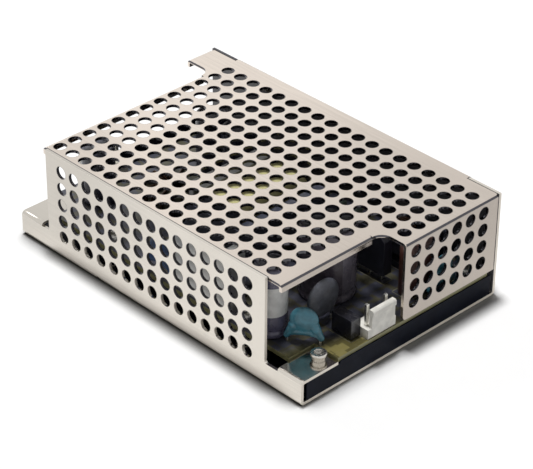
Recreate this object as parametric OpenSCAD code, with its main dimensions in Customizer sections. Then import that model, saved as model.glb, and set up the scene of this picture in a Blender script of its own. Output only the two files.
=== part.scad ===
// Enclosed switching power supply: a folded chassis and a perforated cover around one circuit board.
// Millimetres, +Z up. The connector end faces -Y and the perforated wall of the chassis faces -X.
// The origin is the middle of the underside. Places on the board are given as
// [distance from its near edge, distance from its front edge].

/* [Enclosure] */
// Width over the near wall and the cover's far flange
body_w = 86; // [84:0.5:110]
// Length over the two ends
body_l = 128; // [126:0.5:160]
// Height of the cover's top face
cover_h = 37; // [36:0.5:60]
// Thickness of the sheet metal
sheet_t = 1; // [0.8:0.1:1.2]
// Inside radius of the folds
bend_r = 0.4; // [0.2:0.1:0.8]
// Seam between the cover and the chassis walls
seam = 0.3; // [0.1:0.1:0.5]
// How far the near wall stands above the cover
wall_rise = 0.4; // [0:0.1:1]

/* [Perforation] */
// Diameter of the vent holes
hole_d = 4.3; // [3:0.1:4.8]
// Spacing of the vent holes both ways
hole_pitch = 6; // [5.5:0.1:8]
// Near face of the chassis to the first column of the cover
first_column = 5.1; // [4:0.1:8]
// Least width left beside the last column of the cover
last_column = 8.9; // [5:0.1:10]
// Front end to the first row behind the front flange
first_row = 5; // [4.5:0.1:8]
// Top face to the first row of the front flange
flange_row = 4; // [4:0.1:8]
// Top face to the first row of the near wall
wall_row = 4.9; // [4:0.1:8]
// Least plain height left under the rows of the near wall
wall_plain = 7.5; // [6:0.1:12]
// Least plain length left at each end of the near wall
wall_end = 6.9; // [4:0.1:12]

/* [Chassis] */
// Front end to the front edge of the near wall
wall_front = 15.4; // [14:0.1:30]
// Back end to the back edge of the near wall
wall_back = 13.8; // [13:0.1:30]
// Height of the low strip at both ends of the near wall
strip_h = 8.5; // [6:0.1:8.6]
// Length of the inward tabs on that strip
tab_l = 10; // [8:0.1:11]
// Reach of the inward tabs from the near face
tab_w = 15.2; // [12:0.1:16]
// Depth of the relief between tab and wall
relief_h = 1; // [0.5:0.1:2]
// Fillet at the foot of the near wall
foot_r = 1; // [0.4:0.1:1.5]
// Radius of the notch in the lower near edge
edge_notch_r = 1.1; // [0.6:0.1:2]
// Back end to that notch
edge_notch_y = 37; // [20:0.5:60]

/* [Mounting holes] */
// Each side of the enclosure to the mounting holes
mount_side = 17.6; // [14:0.05:23]
// Each end of the enclosure to the mounting holes
mount_end = 6.85; // [5:0.05:24]
// Diameter of the mounting holes
mount_d = 2.5; // [2:0.1:3.4]
// Height of the pulled collar round a threaded hole
collar_h = 1.6; // [1:0.1:2.5]
// Wall of the pulled collar
collar_t = 0.9; // [0.6:0.1:1.2]

/* [Cover] */
// Depth of the cut over the front connector
front_cut = 9.9; // [8:0.1:14]
// Depth of the cut over the rear connector
back_cut = 11.3; // [8:0.1:13]
// Width of the cut over the front connector
front_cut_w = 42.6; // [30:0.1:50]
// Width of the corner left beside the rear cut
back_corner_w = 11; // [8:0.1:30]
// Inside corner radius of both cuts
cut_r = 4; // [1:0.1:5]
// Height of the lips along both cuts and the rear corner
lip_h = 2.6; // [2:0.1:3.5]
// Room between the front flange and the board
flange_gap = 0.3; // [0.1:0.1:1]
// Corner radius of the front flange
flange_r = 1.5; // [0.5:0.1:3]
// Height of the far flange
far_flange_h = 12; // [9:0.1:20]
// Front end to the start of the far flange
far_front = 13; // [8:0.1:20]
// Back end to the end of the far flange
far_back = 11.7; // [8:0.1:20]
// Gap between the far flange and the chassis wall
lap_gap = 0.1; // [0:0.05:0.2]

/* [Screws] */
// Thread diameter of all screws
screw_d = 2.9; // [2:0.1:3.4]
// Head diameter of the screws
head_d = 5.4; // [4.5:0.1:6]
// Head height of the board and transistor screws
head_h = 1.9; // [1.2:0.1:2.4]
// Room round a screw in its hole
screw_gap = 0.1; // [0.05:0.05:0.2]
// Length of the cover screws
cover_screw_l = 4; // [3:0.1:6]
// Cover top to the cover screws
cover_screw_drop = 7; // [5:0.1:9]
// Distance of each cover screw from the middle of the far flange
cover_screw_y = 36; // [20:0.5:45]
// Length of the board screws
board_screw_l = 6; // [4:0.1:7]

/* [Circuit board] */
// Thickness of the circuit board
board_t = 1.6; // [1.2:0.1:2]
// Height of the standoffs under the board
board_lift = 6.9; // [6:0.1:10]
// Near wall to the board
board_near_gap = 4.1; // [2:0.1:5]
// Far wall to the board
board_far_gap = 2.6; // [1:0.1:4]
// Each end of the enclosure to the film turned up there
board_end_gap = 0.1; // [0.05:0.05:0.8]
// Room between a chassis tab and the notch in the board
tab_gap = 0.4; // [0.3:0.1:1]
// Diameter of the standoffs
standoff_d = 5.6; // [5:0.1:7]
// Diameter of the foot pressed into the base
standoff_foot_d = 4.2; // [3.6:0.1:4.8]
// Thickness of the insulating sheet on the base
insulation_t = 0.3; // [0.2:0.1:0.8]
// Room round the edge of the insulating sheet
insulation_gap = 1; // [0.5:0.1:2]
// Height of the insulating sheet's turned-up back end above the board
insulation_rise = 4; // [1:0.1:6]
// Room between the sheet's turned-up ends and the board
insulation_room = 0.1; // [0.05:0.05:0.4]
// Diameter of the wire leads
lead_d = 0.7; // [0.5:0.1:0.9]
// Room round a lead in the board
lead_gap = 0.15; // [0.05:0.05:0.3]
// Length of the leads below the board
lead_out = 1.4; // [0.8:0.1:2]
// Near edge of the board to the near standoffs
near_stand_x = 4.5; // [4:0.1:6]
// End of the board to the near standoffs
near_stand_y = 33.3; // [32:0.1:35]
// Far edge of the board to the far standoffs
far_stand_x = 4.5; // [4:0.1:8]
// End of the board to the far standoffs
far_stand_y = 4.8; // [4:0.1:8]

/* [Earth post] */
// Diameter of the earth post
post_d = 5.2; // [4.5:0.1:6]
// Height of the earth post above its tab
post_h = 2.6; // [2:0.1:5]
// Diameter of the thread in the earth post
post_bore_d = 2.9; // [2:0.1:3.2]
// Near face of the chassis to the earth post
post_x = 12; // [9:0.1:12.4]
// Front end to the earth post
post_y = 5; // [3:0.1:6.5]

/* [Headers] */
// Pin spacing of both headers
pin_pitch = 3.96; // [3.5:0.01:4]
// Width of the square pins
pin_w = 1.1; // [0.8:0.05:1.3]
// Height of the pins above the board
pin_h = 10.6; // [9:0.1:12]
// Height of the header base
header_base_h = 3.2; // [2.5:0.1:4]
// Depth of the header base
header_base_d = 6.2; // [5.5:0.1:7]
// Height of the locking wall
header_wall_h = 9.4; // [8:0.1:10]
// Thickness of the locking wall
header_wall_t = 1.3; // [1:0.1:1.6]
// Length of the header that its locking wall leaves free at each end, on average
header_wall_in = 1; // [0.5:0.1:2]
// How far the locking wall sits off the middle of its header
header_wall_shift = 0.6; // [0:0.1:1]
// Place of the front header's middle pin
front_header_at = [29.3, 3]; // [0:0.1:80]
// Middle of the rear header from the near edge
rear_header_x = 26.5; // [26:0.1:42]
// Number of places in the rear header
rear_header_n = 4; // [4:1:7]

/* [Input parts] */
// Width, length and height of the fuse
fuse_size = [4, 8.2, 6.8]; // [2:0.1:12]
// Front header to the fuse
fuse_gap = 0.35; // [0.2:0.05:3]
// Front edge of the board to the middle of the fuse
fuse_y = 7.2; // [6:0.1:8]
// Diameter of the coated disc capacitors
disc_d = 8.8; // [7:0.1:9.5]
// Thickness of the coated discs
disc_t = 3.6; // [3:0.1:4.5]
// Lead spacing of the coated discs
disc_pitch = 10; // [9:0.1:10.5]
// Height of a disc's middle above the board
disc_h = 8; // [7:0.1:10]
// Place of the disc capacitor beside the front tab
front_disc_at = [8.85, 12.6]; // [0:0.1:80]
// Turn of that capacitor
front_disc_turn = -56; // [-70:1:-40]
// Far board screw to the disc capacitor behind the front flange
flange_disc_gap = 4.35; // [0.3:0.05:6]
// Front edge of the board to that capacitor
flange_disc_y = 3.6; // [3:0.1:9]
// Primary heatsink to the disc capacitor by the near wall
near_disc_gap = 2.75; // [0.5:0.05:4]
// Near edge of the board to that capacitor
near_disc_x = 3.4; // [2.5:0.1:6]
// Diameter of the inrush thermistor
thermistor_d = 13; // [10:0.1:13.5]
// Lead spacing of the inrush thermistor
thermistor_pitch = 7.5; // [5:0.1:9]
// Place of the inrush thermistor
thermistor_at = [20.7, 16.7]; // [0:0.1:80]
// Diameter of the input capacitor
input_can_d = 10; // [8:0.1:10.4]
// Room between the input capacitor and the cover
input_can_head = 1.8; // [0.5:0.1:8]
// Place of the input capacitor
input_can_at = [5.7, 23.3]; // [0:0.1:80]
// Width, depth and height of the line filter capacitor
film_size = [15, 6.5, 16.5]; // [5:0.1:20]
// Room between the line filter capacitor and the disc before it
film_gap = 0.7; // [0.2:0.05:2]
// Middle of that disc to the far end of the line filter capacitor
film_reach = 3.4; // [0:0.1:5]
// Outside width, depth and height of the filter choke's core
choke_size = [17, 13.5, 4]; // [3:0.1:20]
// Leg width of that core
choke_leg = 4; // [3:0.1:4.4]
// Outside diameter of each winding of the filter choke
choke_coil_d = 8.8; // [7:0.1:9]
// Far edge of the board to the filter choke
choke_far_gap = 1.7; // [0.5:0.1:4]
// Front edge of the board to the middle of the filter choke
choke_y = 22; // [20:0.1:26]
// Thickness, length and height of the bridge rectifier
bridge_size = [3.6, 19, 15]; // [3:0.1:20]
// Diameter of the bulk capacitor
bulk_d = 18; // [12:0.1:18.4]
// Room between the bulk capacitor and the cover
bulk_head = 1.3; // [0.5:0.1:8]
// Place of the bulk capacitor
bulk_at = [33.2, 27.2]; // [0:0.1:80]

/* [Power parts] */
// Thickness of the heatsinks
sink_t = 2; // [1.5:0.1:2.5]
// Room between the primary heatsink and the cover
primary_sink_head = 3.5; // [1:0.1:6]
// Length of the primary heatsink
primary_sink_l = 24; // [16:0.1:26]
// Reach of the wing at the front of the primary heatsink
primary_wing = 6; // [4:0.1:8]
// Place of the primary heatsink's plate
primary_sink_at = [1.7, 49.5]; // [0:0.1:80]
// Room between the transformer's core and the flange of the secondary heatsink above it
sink_over_core = 2.5; // [1:0.1:4]
// Length of the secondary heatsink
secondary_sink_l = 30; // [26:0.1:32]
// Width of the flange on the secondary heatsink
secondary_flange = 6.2; // [4:0.1:6.6]
// Room between the transformer's core and the plate of the secondary heatsink behind it
sink_behind_core = 0.7; // [0.3:0.1:3]
// Width, thickness and height of a power transistor's moulded body
power_body = [10, 4.4, 9]; // [3:0.1:12]
// Thickness of its metal tab
power_tab_t = 1.3; // [1:0.1:1.5]
// Height of its metal tab above the body
power_tab_h = 6.4; // [6:0.1:7]
// Height of its body above the board
power_lift = 3.6; // [2:0.1:5]
// Spacing of its leads
power_pitch = 2.54; // [2:0.01:3]
// Spacing of the two rectifiers
rectifier_pitch = 14; // [12:0.1:17]
// Core length, width and height of the transformer
core_size = [37.4, 25.6, 10]; // [8:0.1:40]
// Width of the core's outer legs
core_leg = 4.5; // [3:0.1:5]
// Width of the winding window
core_window = 31.4; // [26:0.1:32]
// Height of the core's underside above the board
core_lift = 7; // [6.5:0.1:8]
// Width and height of the taped winding
winding_size = [15.6, 17.5]; // [12:0.1:18]
// Corner radius of the taped winding
winding_r = 2.5; // [2:0.1:5]
// Room between winding, bobbin and core
winding_gap = 0.25; // [0.1:0.05:0.4]
// Thickness of the bobbin
bobbin_t = 1.2; // [0.8:0.1:1.5]
// Place of the transformer
transformer_at = [36.7, 61.2]; // [0:0.1:80]

/* [Output parts] */
// Diameter of the output capacitors
output_can_d = 11; // [8:0.1:11.4]
// Height of the output capacitors
output_can_h = 20; // [12:0.1:22]
// Spacing of the two output capacitors beside the output choke
output_can_pitch = 12.5; // [11.8:0.1:14]
// Rectifiers to the first of them
output_can_gap = 6; // [1:0.1:8]
// Far edge of the board to both
output_can_far = 12.8; // [9:0.1:14]
// Rear header to the output capacitor before it
near_can_gap = 0.5; // [0.3:0.1:3]
// Near edge of the board to the middle of that capacitor
near_can_x = 16.8; // [15:0.1:18]
// Outside diameter of the output choke's core
ring_d = 18; // [14:0.1:19]
// Bore of that core
ring_bore = 9; // [7:0.1:10]
// Height of that core
ring_h = 6.5; // [5:0.1:8]
// Wire diameter of the output choke
ring_wire = 1.1; // [0.8:0.1:1.3]
// Number of turns on the output choke
ring_turns = 14; // [8:1:16]
// Near edge of the board to the output choke
ring_x = 32.4; // [32:0.1:34]
// Rectifiers to the output choke
ring_front_gap = 4; // [1:0.1:8]
// Width, length and height of a chip's moulded body
chip_body = [6.4, 9.4, 3.3]; // [3:0.1:12]
// Lead spacing of the chips
chip_pitch = 2.54; // [2:0.01:2.6]
// Place of the controller chip
controller_at = [13.5, 46]; // [0:0.1:80]
// Front edge of the board to the optocoupler
optocoupler_y = 69; // [64:0.1:72]
// Diameter and length of the power resistors
resistor_size = [4.2, 9]; // [3:0.1:12]
// Front edge of the board to the first power resistor
resistor_y = 50; // [46:0.1:56]
// Spacing of the power resistors
resistor_pitch = 7; // [5:0.1:8]

/* [Hidden] */
$fn = 48;

eps = 0.01;
over = 1;

// Outside faces and levels of the enclosure
bend_out = bend_r + sheet_t;
near_x = -body_w / 2;
far_x = body_w / 2;
front_y = -body_l / 2;
back_y = body_l / 2;
wall_top = cover_h + wall_rise;
cover_under = cover_h - sheet_t;
chassis_far_x = far_x - sheet_t - lap_gap;
wall_front_y = front_y + wall_front;
wall_back_y = back_y - wall_back;

// Faces of the cover
cover_near_x = near_x + sheet_t + seam;
cover_far_x = chassis_far_x - sheet_t - seam;
front_cut_y = front_y + front_cut;
back_cut_y = back_y - back_cut;
front_cut_x = near_x + front_cut_w;
back_corner_x = cover_far_x - back_corner_w;
far_front_y = front_y + far_front;
far_back_y = back_y - far_back;
far_middle_y = (far_front_y + far_back_y) / 2;

// Levels and edges of the board
board_under = sheet_t + board_lift;
board_top = board_under + board_t;
board_near = near_x + sheet_t + board_near_gap;
board_far = chassis_far_x - sheet_t - board_far_gap;
board_front = front_y + board_end_gap + insulation_t + insulation_room;
board_back = back_y - board_end_gap - insulation_t - insulation_room;
board_l = board_back - board_front;
board_w = board_far - board_near;
board_room = cover_under - board_top;
flange_drop = cover_h - board_top - flange_gap;

// Number of vent holes that fit in a length, both end holes counted
function holes_in(length) = floor(length / hole_pitch + eps) + 1;
cover_columns = holes_in(body_w - first_column - last_column);
cover_rows = holes_in(back_cut_y - front_y - first_row - hole_d / 2 - bend_out);
flange_rows = holes_in(flange_drop - flange_row - hole_d / 2 - flange_r);
wall_l = wall_back_y - wall_front_y;
wall_columns = holes_in(wall_l - 2 * wall_end);
wall_rows = holes_in(cover_h - wall_row - wall_plain);
wall_middle_y = (wall_front_y + wall_back_y) / 2;

// Places in the part's frame
function on_board(p) = [board_near + p[0], board_front + p[1]];
function from_back(p) = [board_near + p[0], board_back - p[1]];
stand_spots = [
    for (y = [near_stand_y, board_l - near_stand_y]) [board_near + near_stand_x, board_front + y],
    for (y = [far_stand_y, board_l - far_stand_y]) [board_far - far_stand_x, board_front + y]
];
mount_spots = [
    for (x = [near_x + mount_side, far_x - mount_side])
        for (y = [front_y + mount_end, back_y - mount_end]) [x, y]
];
post_spot = [near_x + post_x, front_y + post_y];
cover_screw_spots = [for (s = [-1, 1]) far_middle_y + s * cover_screw_y];

// Two points either side of a spot, along a turned line
function pair(p, pitch, turn) =
    [for (s = [-1, 1] * pitch / 2) [p[0] + s * cos(turn), p[1] + s * sin(turn)]];

front_header_n = 3;
header_wall_out = 2.7;
front_header = on_board(front_header_at);
rear_header = from_back([rear_header_x, front_header_at[1]]);
header_back = front_header_at[1] + header_base_d - header_wall_out;
fuse_spot = on_board([
    front_header_at[0] - front_header_n * pin_pitch / 2 - fuse_gap - fuse_size[0] / 2, fuse_y
]);
disc_foot_r = 0.75;
disc_reach = disc_pitch / 2 + disc_foot_r;
flange_disc_x = board_w - far_stand_x - head_d / 2 - flange_disc_gap - disc_reach;
flange_disc = on_board([flange_disc_x, flange_disc_y]);
film = on_board([
    flange_disc_x + film_reach - film_size[0] / 2, flange_disc_y + disc_t / 2 + film_gap + film_size[1] / 2
]);
front_disc = on_board(front_disc_at);
primary_sink_back = primary_sink_at[1] + primary_sink_l / 2;
near_disc = on_board([near_disc_x, primary_sink_back + near_disc_gap + disc_reach]);
thermistor = on_board(thermistor_at);
input_can = on_board(input_can_at);
bulk = on_board(bulk_at);
choke = on_board([board_w - choke_far_gap - choke_size[0] / 2, choke_y]);
bridge = [(bulk[0] + bulk_d / 2 + choke[0] - choke_size[0] / 2) / 2, bulk[1]];
primary_sink = on_board(primary_sink_at);
transformer = on_board(transformer_at);
secondary_sink = transformer + [0, core_size[1] / 2 + sink_behind_core + sink_t / 2];
beside_core_x = (transformer[0] + core_size[0] / 2 + board_far) / 2;
resistors = [for (i = [0:1]) [beside_core_x, board_front + resistor_y + i * resistor_pitch]];
optocoupler_spot = [beside_core_x, board_front + optocoupler_y];
controller = on_board(controller_at);
rectifier_back = secondary_sink[1] + sink_t / 2 + power_body[1];
front_can = [board_far - output_can_far, rectifier_back + output_can_gap] + [-1, 1] * output_can_d / 2;
near_can = from_back([near_can_x, header_back + near_can_gap + output_can_d / 2]);
output_cans = [near_can, front_can, front_can + [0, output_can_pitch]];

// Small sizes of the parts on the board
can_lift = 0.2;
input_can_h = board_room - can_lift - input_can_head;
bulk_h = board_room - can_lift - bulk_head;
primary_sink_h = board_room - primary_sink_head;
secondary_sink_h = core_lift + core_size[2] + sink_over_core + sink_t;
can_edge_r = 0.9;
can_groove_r = 0.9;
can_groove_z = 2.6;
can_top_in = 1.2;
can_top_deep = 0.4;
vent_w = 0.5;
vent_in = 0.6;
input_can_pitch = 5;
bulk_pitch = 7.5;
output_lead_pitch = 5;
disc_foot_h = 1;
disc_root_r = 1.7;
film_lift = 0.3;
film_lead_in = 2.5;
film_pitch = film_size[0] - 2 * film_lead_in;
bridge_lift = 2.5;
bridge_pitch = 5;
bridge_chamfer = 3;
bridge_hole_up = 9.3;
fuse_lift = 0.3;
fuse_lead_in = 1.5;
fuse_pitch = fuse_size[1] - 2 * fuse_lead_in;
choke_base_h = 2.2;
choke_flange_t = 1;
choke_flange_out = 0.4;
choke_wire = 0.9;
choke_lift = choke_base_h + choke_coil_d / 2 + choke_flange_out;
choke_leg_y = (choke_size[1] - choke_leg) / 2;
choke_coil_l = choke_size[0] - 2 * choke_leg - 2 * choke_flange_t - 4 * winding_gap;
choke_pin_in = 2;
chip_lift = 0.7;
chip_leg = [0.5, 0.3];
chip_leg_out = 0.6;
chip_spread = chip_body[0] + 2 * chip_leg_out;
opto_l = chip_body[1] / 2;
power_lead = [0.8, 0.5];
power_lead_y = 2.4;
power_hole_up = 3.4;
power_lead_drop = power_lift + board_t + lead_out;
bobbin_base_h = core_lift - winding_gap;
bobbin_pin_in = 2.2;
bobbin_pin_pitch = 4;
bobbin_w = winding_size[0] + 2 * winding_gap;
bobbin_rail_in = 2;
core_limb = winding_size[0] - 2 * winding_r;
core_mid_h = core_lift + core_size[2] / 2;
winding_l = core_window - 2 * bobbin_t - 4 * winding_gap;
resistor_lift = 0.4;
resistor_reach = 1;
resistor_cap = 2.2;
resistor_waist = 0.3;
post_chamfer = 0.5;
post_ring_h = 0.9;
recess_w = 0.8;
recess_deep = 1;
recess_l = 3.2;
flush_head_d = screw_d + 2 * sheet_t;
lip_out = 0.4;
lip_tall = 2.1;
pin_gap = 0.05;
ring_gap = 0.15;
ring_clear = 0.25;
ring_lift = ring_wire + ring_gap + ring_clear;
ring_arc = 300;
ring_start = (360 - ring_arc) / 2;
ring_bend_r = 0.8;
wire_sides = 8;
ring_in = (ring_bore - ring_wire) / 2 - ring_gap;
ring_out = (ring_d + ring_wire) / 2 + ring_gap;
ring_low = ring_lift - ring_wire / 2 - ring_gap;
ring_high = ring_lift + ring_h + ring_wire / 2 + ring_gap;
ring = [board_near + ring_x, rectifier_back + ring_front_gap + ring_out + ring_wire / 2];

// Lead positions, each with the height where its part begins
function topped(spots, z) = [for (p = spots) [p[0], p[1], z]];
choke_leads = [
    for (s = [-1, 1]) each pair(choke + [s * (choke_size[0] / 2 - choke_pin_in), 0], choke_leg_y * 2, 90)
];
bobbin_leads = [
    for (s = [-1, 1], i = [-2:2])
        transformer + [s * (core_size[0] / 2 - bobbin_pin_in), i * bobbin_pin_pitch]
];
can_leads = concat(
    pair(input_can, input_can_pitch, 0), pair(bulk, bulk_pitch, 0),
    [for (p = output_cans) each pair(p, output_lead_pitch, 90)]
);
disc_leads = concat(
    pair(front_disc, disc_pitch, front_disc_turn), pair(flange_disc, disc_pitch, 0),
    pair(near_disc, disc_pitch, 90), pair(thermistor, thermistor_pitch, 0)
);
bridge_leads = [for (i = [-1.5:1.5]) bridge + [0, i * bridge_pitch]];
resistor_leads = [for (p = resistors) each pair(p, resistor_size[1] + 2 * resistor_reach, 0)];
resistor_axis = board_top + resistor_lift + resistor_size[0] / 2;
round_leads = concat(
    topped(can_leads, board_top + can_lift),
    topped(concat(choke_leads, bobbin_leads), board_top),
    topped(disc_leads, board_top + disc_foot_h),
    topped(bridge_leads, board_top + bridge_lift),
    topped(pair(film, film_pitch, 0), board_top + film_lift),
    topped(pair(fuse_spot, fuse_pitch, 90), board_top + fuse_lift),
    topped(resistor_leads, resistor_axis)
);

// Legs that belong to their own parts but also need holes in the board
transistor = [primary_sink[0] + sink_t / 2, primary_sink[1]];
rectifiers = [
    for (s = [-1, 1]) [secondary_sink[0] + s * rectifier_pitch / 2, secondary_sink[1] + sink_t / 2]
];
power_legs = concat(
    [for (i = [-1:1]) transistor + [power_lead_y, i * power_pitch]],
    [for (p = rectifiers, i = [-1:1]) p + [i * power_pitch, power_lead_y]]
);
chip_legs = concat(
    [for (s = [-1, 1], i = [-1.5:1.5]) controller + [s * chip_spread / 2, i * chip_pitch]],
    [for (s = [-1, 1], i = [-0.5:0.5]) optocoupler_spot + [s * chip_spread / 2, i * chip_pitch]]
);
front_pins = [for (i = [-1, 1]) front_header + [i * pin_pitch, 0]];
rear_pins = [
    for (i = [0:rear_header_n - 1]) rear_header + [(i - (rear_header_n - 1) / 2) * pin_pitch, 0]
];
function polar(r, a) = [r * cos(a), r * sin(a)];
function at(r, a, z) = [r * cos(a), r * sin(a), z];
ring_ends = [for (a = [ring_start, ring_start + ring_arc]) ring + polar(ring_out, a)];
lead_hole_r = lead_d / 2 + lead_gap;
power_hole_r = norm(power_lead) / 2 + lead_gap;
chip_hole_r = norm(chip_leg) / 2 + lead_gap;
pin_hole_r = pin_w * sqrt(2) / 2 + lead_gap;

// Flat strip folded down from a plate: the fold's face is at y = 0 and the plate's top at z = 0
module fold(length, drop) {
    rotate([90, 0, 90]) linear_extrude(length) {
        translate([bend_out, -bend_out]) intersection() {
            difference() {
                circle(bend_out);
                circle(bend_r);
            }
            translate([-bend_out, 0]) square(bend_out);
        }
        translate([0, -drop]) square([sheet_t, drop - bend_out]);
    }
}

// Upright-sided tray outline with rounded lower corners, from x0 to x1 above z0
module tray_outline(x0, x1, z0, r) {
    translate([x0, z0 + r]) square([x1 - x0, wall_top - z0 - r]);
    translate([x0 + r, z0]) square([x1 - x0 - 2 * r, wall_top - z0]);
    for (x = [x0 + r, x1 - r]) translate([x, z0 + r]) circle(r);
}

// Fills an inside corner at the origin with a fillet towards -x and -y
module corner_fillet(r) {
    difference() {
        translate([-r, -r]) square(r + eps);
        translate([-r, -r]) circle(r);
    }
}

// Box between two corner points
module block(low, high) {
    translate(low) cube(high - low);
}

// Cross recess of a screw head, cut down from z = 0
module cross_recess() {
    for (a = [0, 90]) rotate(a) translate([0, 0, -recess_deep / 2 + eps])
        cube([recess_l, recess_w, recess_deep], center = true);
}

// Pan-head screw with its head seated at z = 0 and its shank below
module pan_screw(length) {
    difference() {
        union() {
            rotate_extrude() intersection() {
                union() {
                    square([head_d / 2, head_h / 2]);
                    translate([0, head_h / 2]) square([head_d / 2 - head_h / 2, head_h / 2]);
                    translate([head_d / 2 - head_h / 2, head_h / 2]) circle(head_h / 2);
                }
                square([head_d / 2, head_h]);
            }
            translate([0, 0, -length]) cylinder(length + eps, d = screw_d);
        }
        translate([0, 0, head_h]) cross_recess();
    }
}

module chassis() {
    color([0.80, 0.79, 0.75]) difference() {
        union() {
            difference() {
                rotate([90, 0, 0]) linear_extrude(body_l, center = true) difference() {
                    tray_outline(near_x, chassis_far_x, 0, bend_out);
                    tray_outline(near_x + sheet_t, chassis_far_x - sheet_t, sheet_t, bend_r);
                }
                chassis_wall_cuts();
            }
            near_wall_feet();
            for (y = [front_y, back_y - tab_l]) chassis_tab(y);
            for (p = mount_spots) translate([p[0], p[1], sheet_t - eps])
                cylinder(collar_h + eps, d = mount_d + 2 * collar_t);
            for (y = cover_screw_spots) far_collar(y);
        }
        near_wall_holes();
        base_holes();
        for (y = cover_screw_spots) translate([chassis_far_x + over, y, cover_h - cover_screw_drop])
            rotate([0, -90, 0]) cylinder(sheet_t + collar_h + 2 * over, d = screw_d + 2 * screw_gap);
        translate([near_x - over, back_y - edge_notch_y, 0])
            rotate([0, 90, 0]) cylinder(sheet_t + bend_out + over, r = edge_notch_r);
    }
}

// What the two long walls lose above their final edges
module chassis_wall_cuts() {
    near_in = near_x + sheet_t + bend_r + over;
    far_in = chassis_far_x - sheet_t - over;
    relief_z = strip_h - relief_h;
    fold_z = strip_h - bend_out;
    for (y = [[front_y - over, wall_front_y], [wall_back_y, back_y + over]])
        block([near_x - over, y[0], relief_z], [near_in, y[1], wall_top + over]);
    for (y = [[front_y - over, front_y + tab_l], [back_y - tab_l, back_y + over]])
        block([near_x - over, y[0], fold_z], [near_in, y[1], wall_top + over]);
    block([far_in, front_y - over, cover_h], [chassis_far_x + over, back_y + over, wall_top + over]);
    block(
        [far_in, far_front_y - seam, cover_under - bend_r],
        [chassis_far_x + over, far_back_y + seam, wall_top + over]
    );
}

// Fillets where the near wall meets the low strip at both ends
module near_wall_feet() {
    relief_z = strip_h - relief_h;
    translate([near_x, wall_front_y, relief_z]) rotate([90, 0, 90]) linear_extrude(sheet_t)
        mirror([0, 1]) corner_fillet(foot_r);
    translate([near_x, wall_back_y, relief_z]) rotate([90, 0, 90]) linear_extrude(sheet_t)
        rotate(180) corner_fillet(foot_r);
}

// Tab folded inward from the low strip
module chassis_tab(y) {
    translate([near_x, y + tab_l, strip_h]) rotate(-90) fold(tab_l, strip_h / 2);
    block([near_x + bend_out, y, strip_h - sheet_t], [near_x + tab_w, y + tab_l, strip_h]);
}

// Collar pulled inward round a cover screw
module far_collar(y) {
    translate([chassis_far_x - sheet_t + eps, y, cover_h - cover_screw_drop])
        rotate([0, -90, 0]) cylinder(collar_h, d = screw_d + 2 * screw_gap + 2 * collar_t);
}

module near_wall_holes() {
    for (i = [0:wall_columns - 1], j = [0:wall_rows - 1])
        translate([
            near_x - over,
            wall_middle_y + (i - (wall_columns - 1) / 2) * hole_pitch,
            cover_h - wall_row - j * hole_pitch
        ]) rotate([0, 90, 0]) cylinder(sheet_t + 2 * over, d = hole_d);
}

// Holes of the base and the front tab
module base_holes() {
    for (p = mount_spots) translate([p[0], p[1], -over])
        cylinder(sheet_t + collar_h + 2 * over, d = mount_d);
    for (p = stand_spots) translate([p[0], p[1], -over])
        cylinder(sheet_t + 2 * over, d = standoff_foot_d + 2 * pin_gap);
    translate([post_spot[0], post_spot[1], strip_h - sheet_t - over])
        cylinder(sheet_t + 2 * over, d = standoff_foot_d + 2 * pin_gap);
}

module cover() {
    color([0.87, 0.82, 0.77]) difference() {
        union() {
            translate([0, 0, cover_under]) linear_extrude(sheet_t) cover_outline();
            cover_folds();
        }
        cover_holes();
        flange_holes();
        flange_corner();
        for (y = cover_screw_spots) translate([far_x + eps, y, cover_h - cover_screw_drop])
            rotate([0, -90, 0]) countersink();
    }
}

// Flat part of the cover, without the stretches that the folds take
module cover_outline() {
    front_in = front_cut_y + bend_out;
    back_in = back_cut_y - bend_out;
    translate([cover_near_x, front_in]) square([cover_far_x - cover_near_x, back_in - front_in]);
    translate([front_cut_x, front_y + bend_out])
        square([cover_far_x - front_cut_x, front_in - front_y - bend_out + eps]);
    translate([back_corner_x, back_in - eps])
        square([cover_far_x - back_corner_x, back_y - bend_out - back_in + eps]);
    translate([cover_far_x - eps, far_front_y])
        square([far_x - bend_out - cover_far_x + 2 * eps, far_back_y - far_front_y]);
    translate([front_cut_x, front_cut_y]) {
        corner_fillet(cut_r);
        translate([-cut_r, 0]) square([cut_r + eps, bend_out + eps]);
    }
    translate([back_corner_x, back_cut_y]) mirror([0, 1]) {
        corner_fillet(cut_r);
        translate([-cut_r, 0]) square([cut_r + eps, bend_out + eps]);
    }
}

module cover_folds() {
    translate([front_cut_x, front_y, cover_h]) fold(cover_far_x - front_cut_x, flange_drop);
    translate([cover_near_x, front_cut_y, cover_h]) fold(front_cut_x - cut_r - cover_near_x, lip_h);
    translate([back_corner_x - cut_r, back_cut_y, cover_h]) rotate(180)
        fold(back_corner_x - cut_r - cover_near_x, lip_h);
    translate([cover_far_x, back_y, cover_h]) rotate(180) fold(back_corner_w, lip_h);
    translate([far_x, far_front_y, cover_h]) rotate(90) fold(far_back_y - far_front_y, far_flange_h);
}

module cover_holes() {
    for (i = [0:cover_columns - 1], j = [0:cover_rows - 1]) {
        x = near_x + first_column + i * hole_pitch;
        y = front_y + first_row + j * hole_pitch;
        behind_cut = y - hole_d / 2 > front_cut_y + bend_out;
        beside_cut = x - hole_d / 2 > front_cut_x + bend_out;
        if (behind_cut || beside_cut)
            translate([x, y, cover_under - over]) cylinder(sheet_t + 2 * over, d = hole_d);
    }
}

module flange_holes() {
    for (i = [0:cover_columns - 1], j = [0:flange_rows - 1]) {
        x = near_x + first_column + i * hole_pitch;
        if (x - hole_d / 2 > front_cut_x + bend_out)
            translate([x, front_y - over, cover_h - flange_row - j * hole_pitch])
                rotate([-90, 0, 0]) cylinder(sheet_t + 2 * over, d = hole_d);
    }
}

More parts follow.
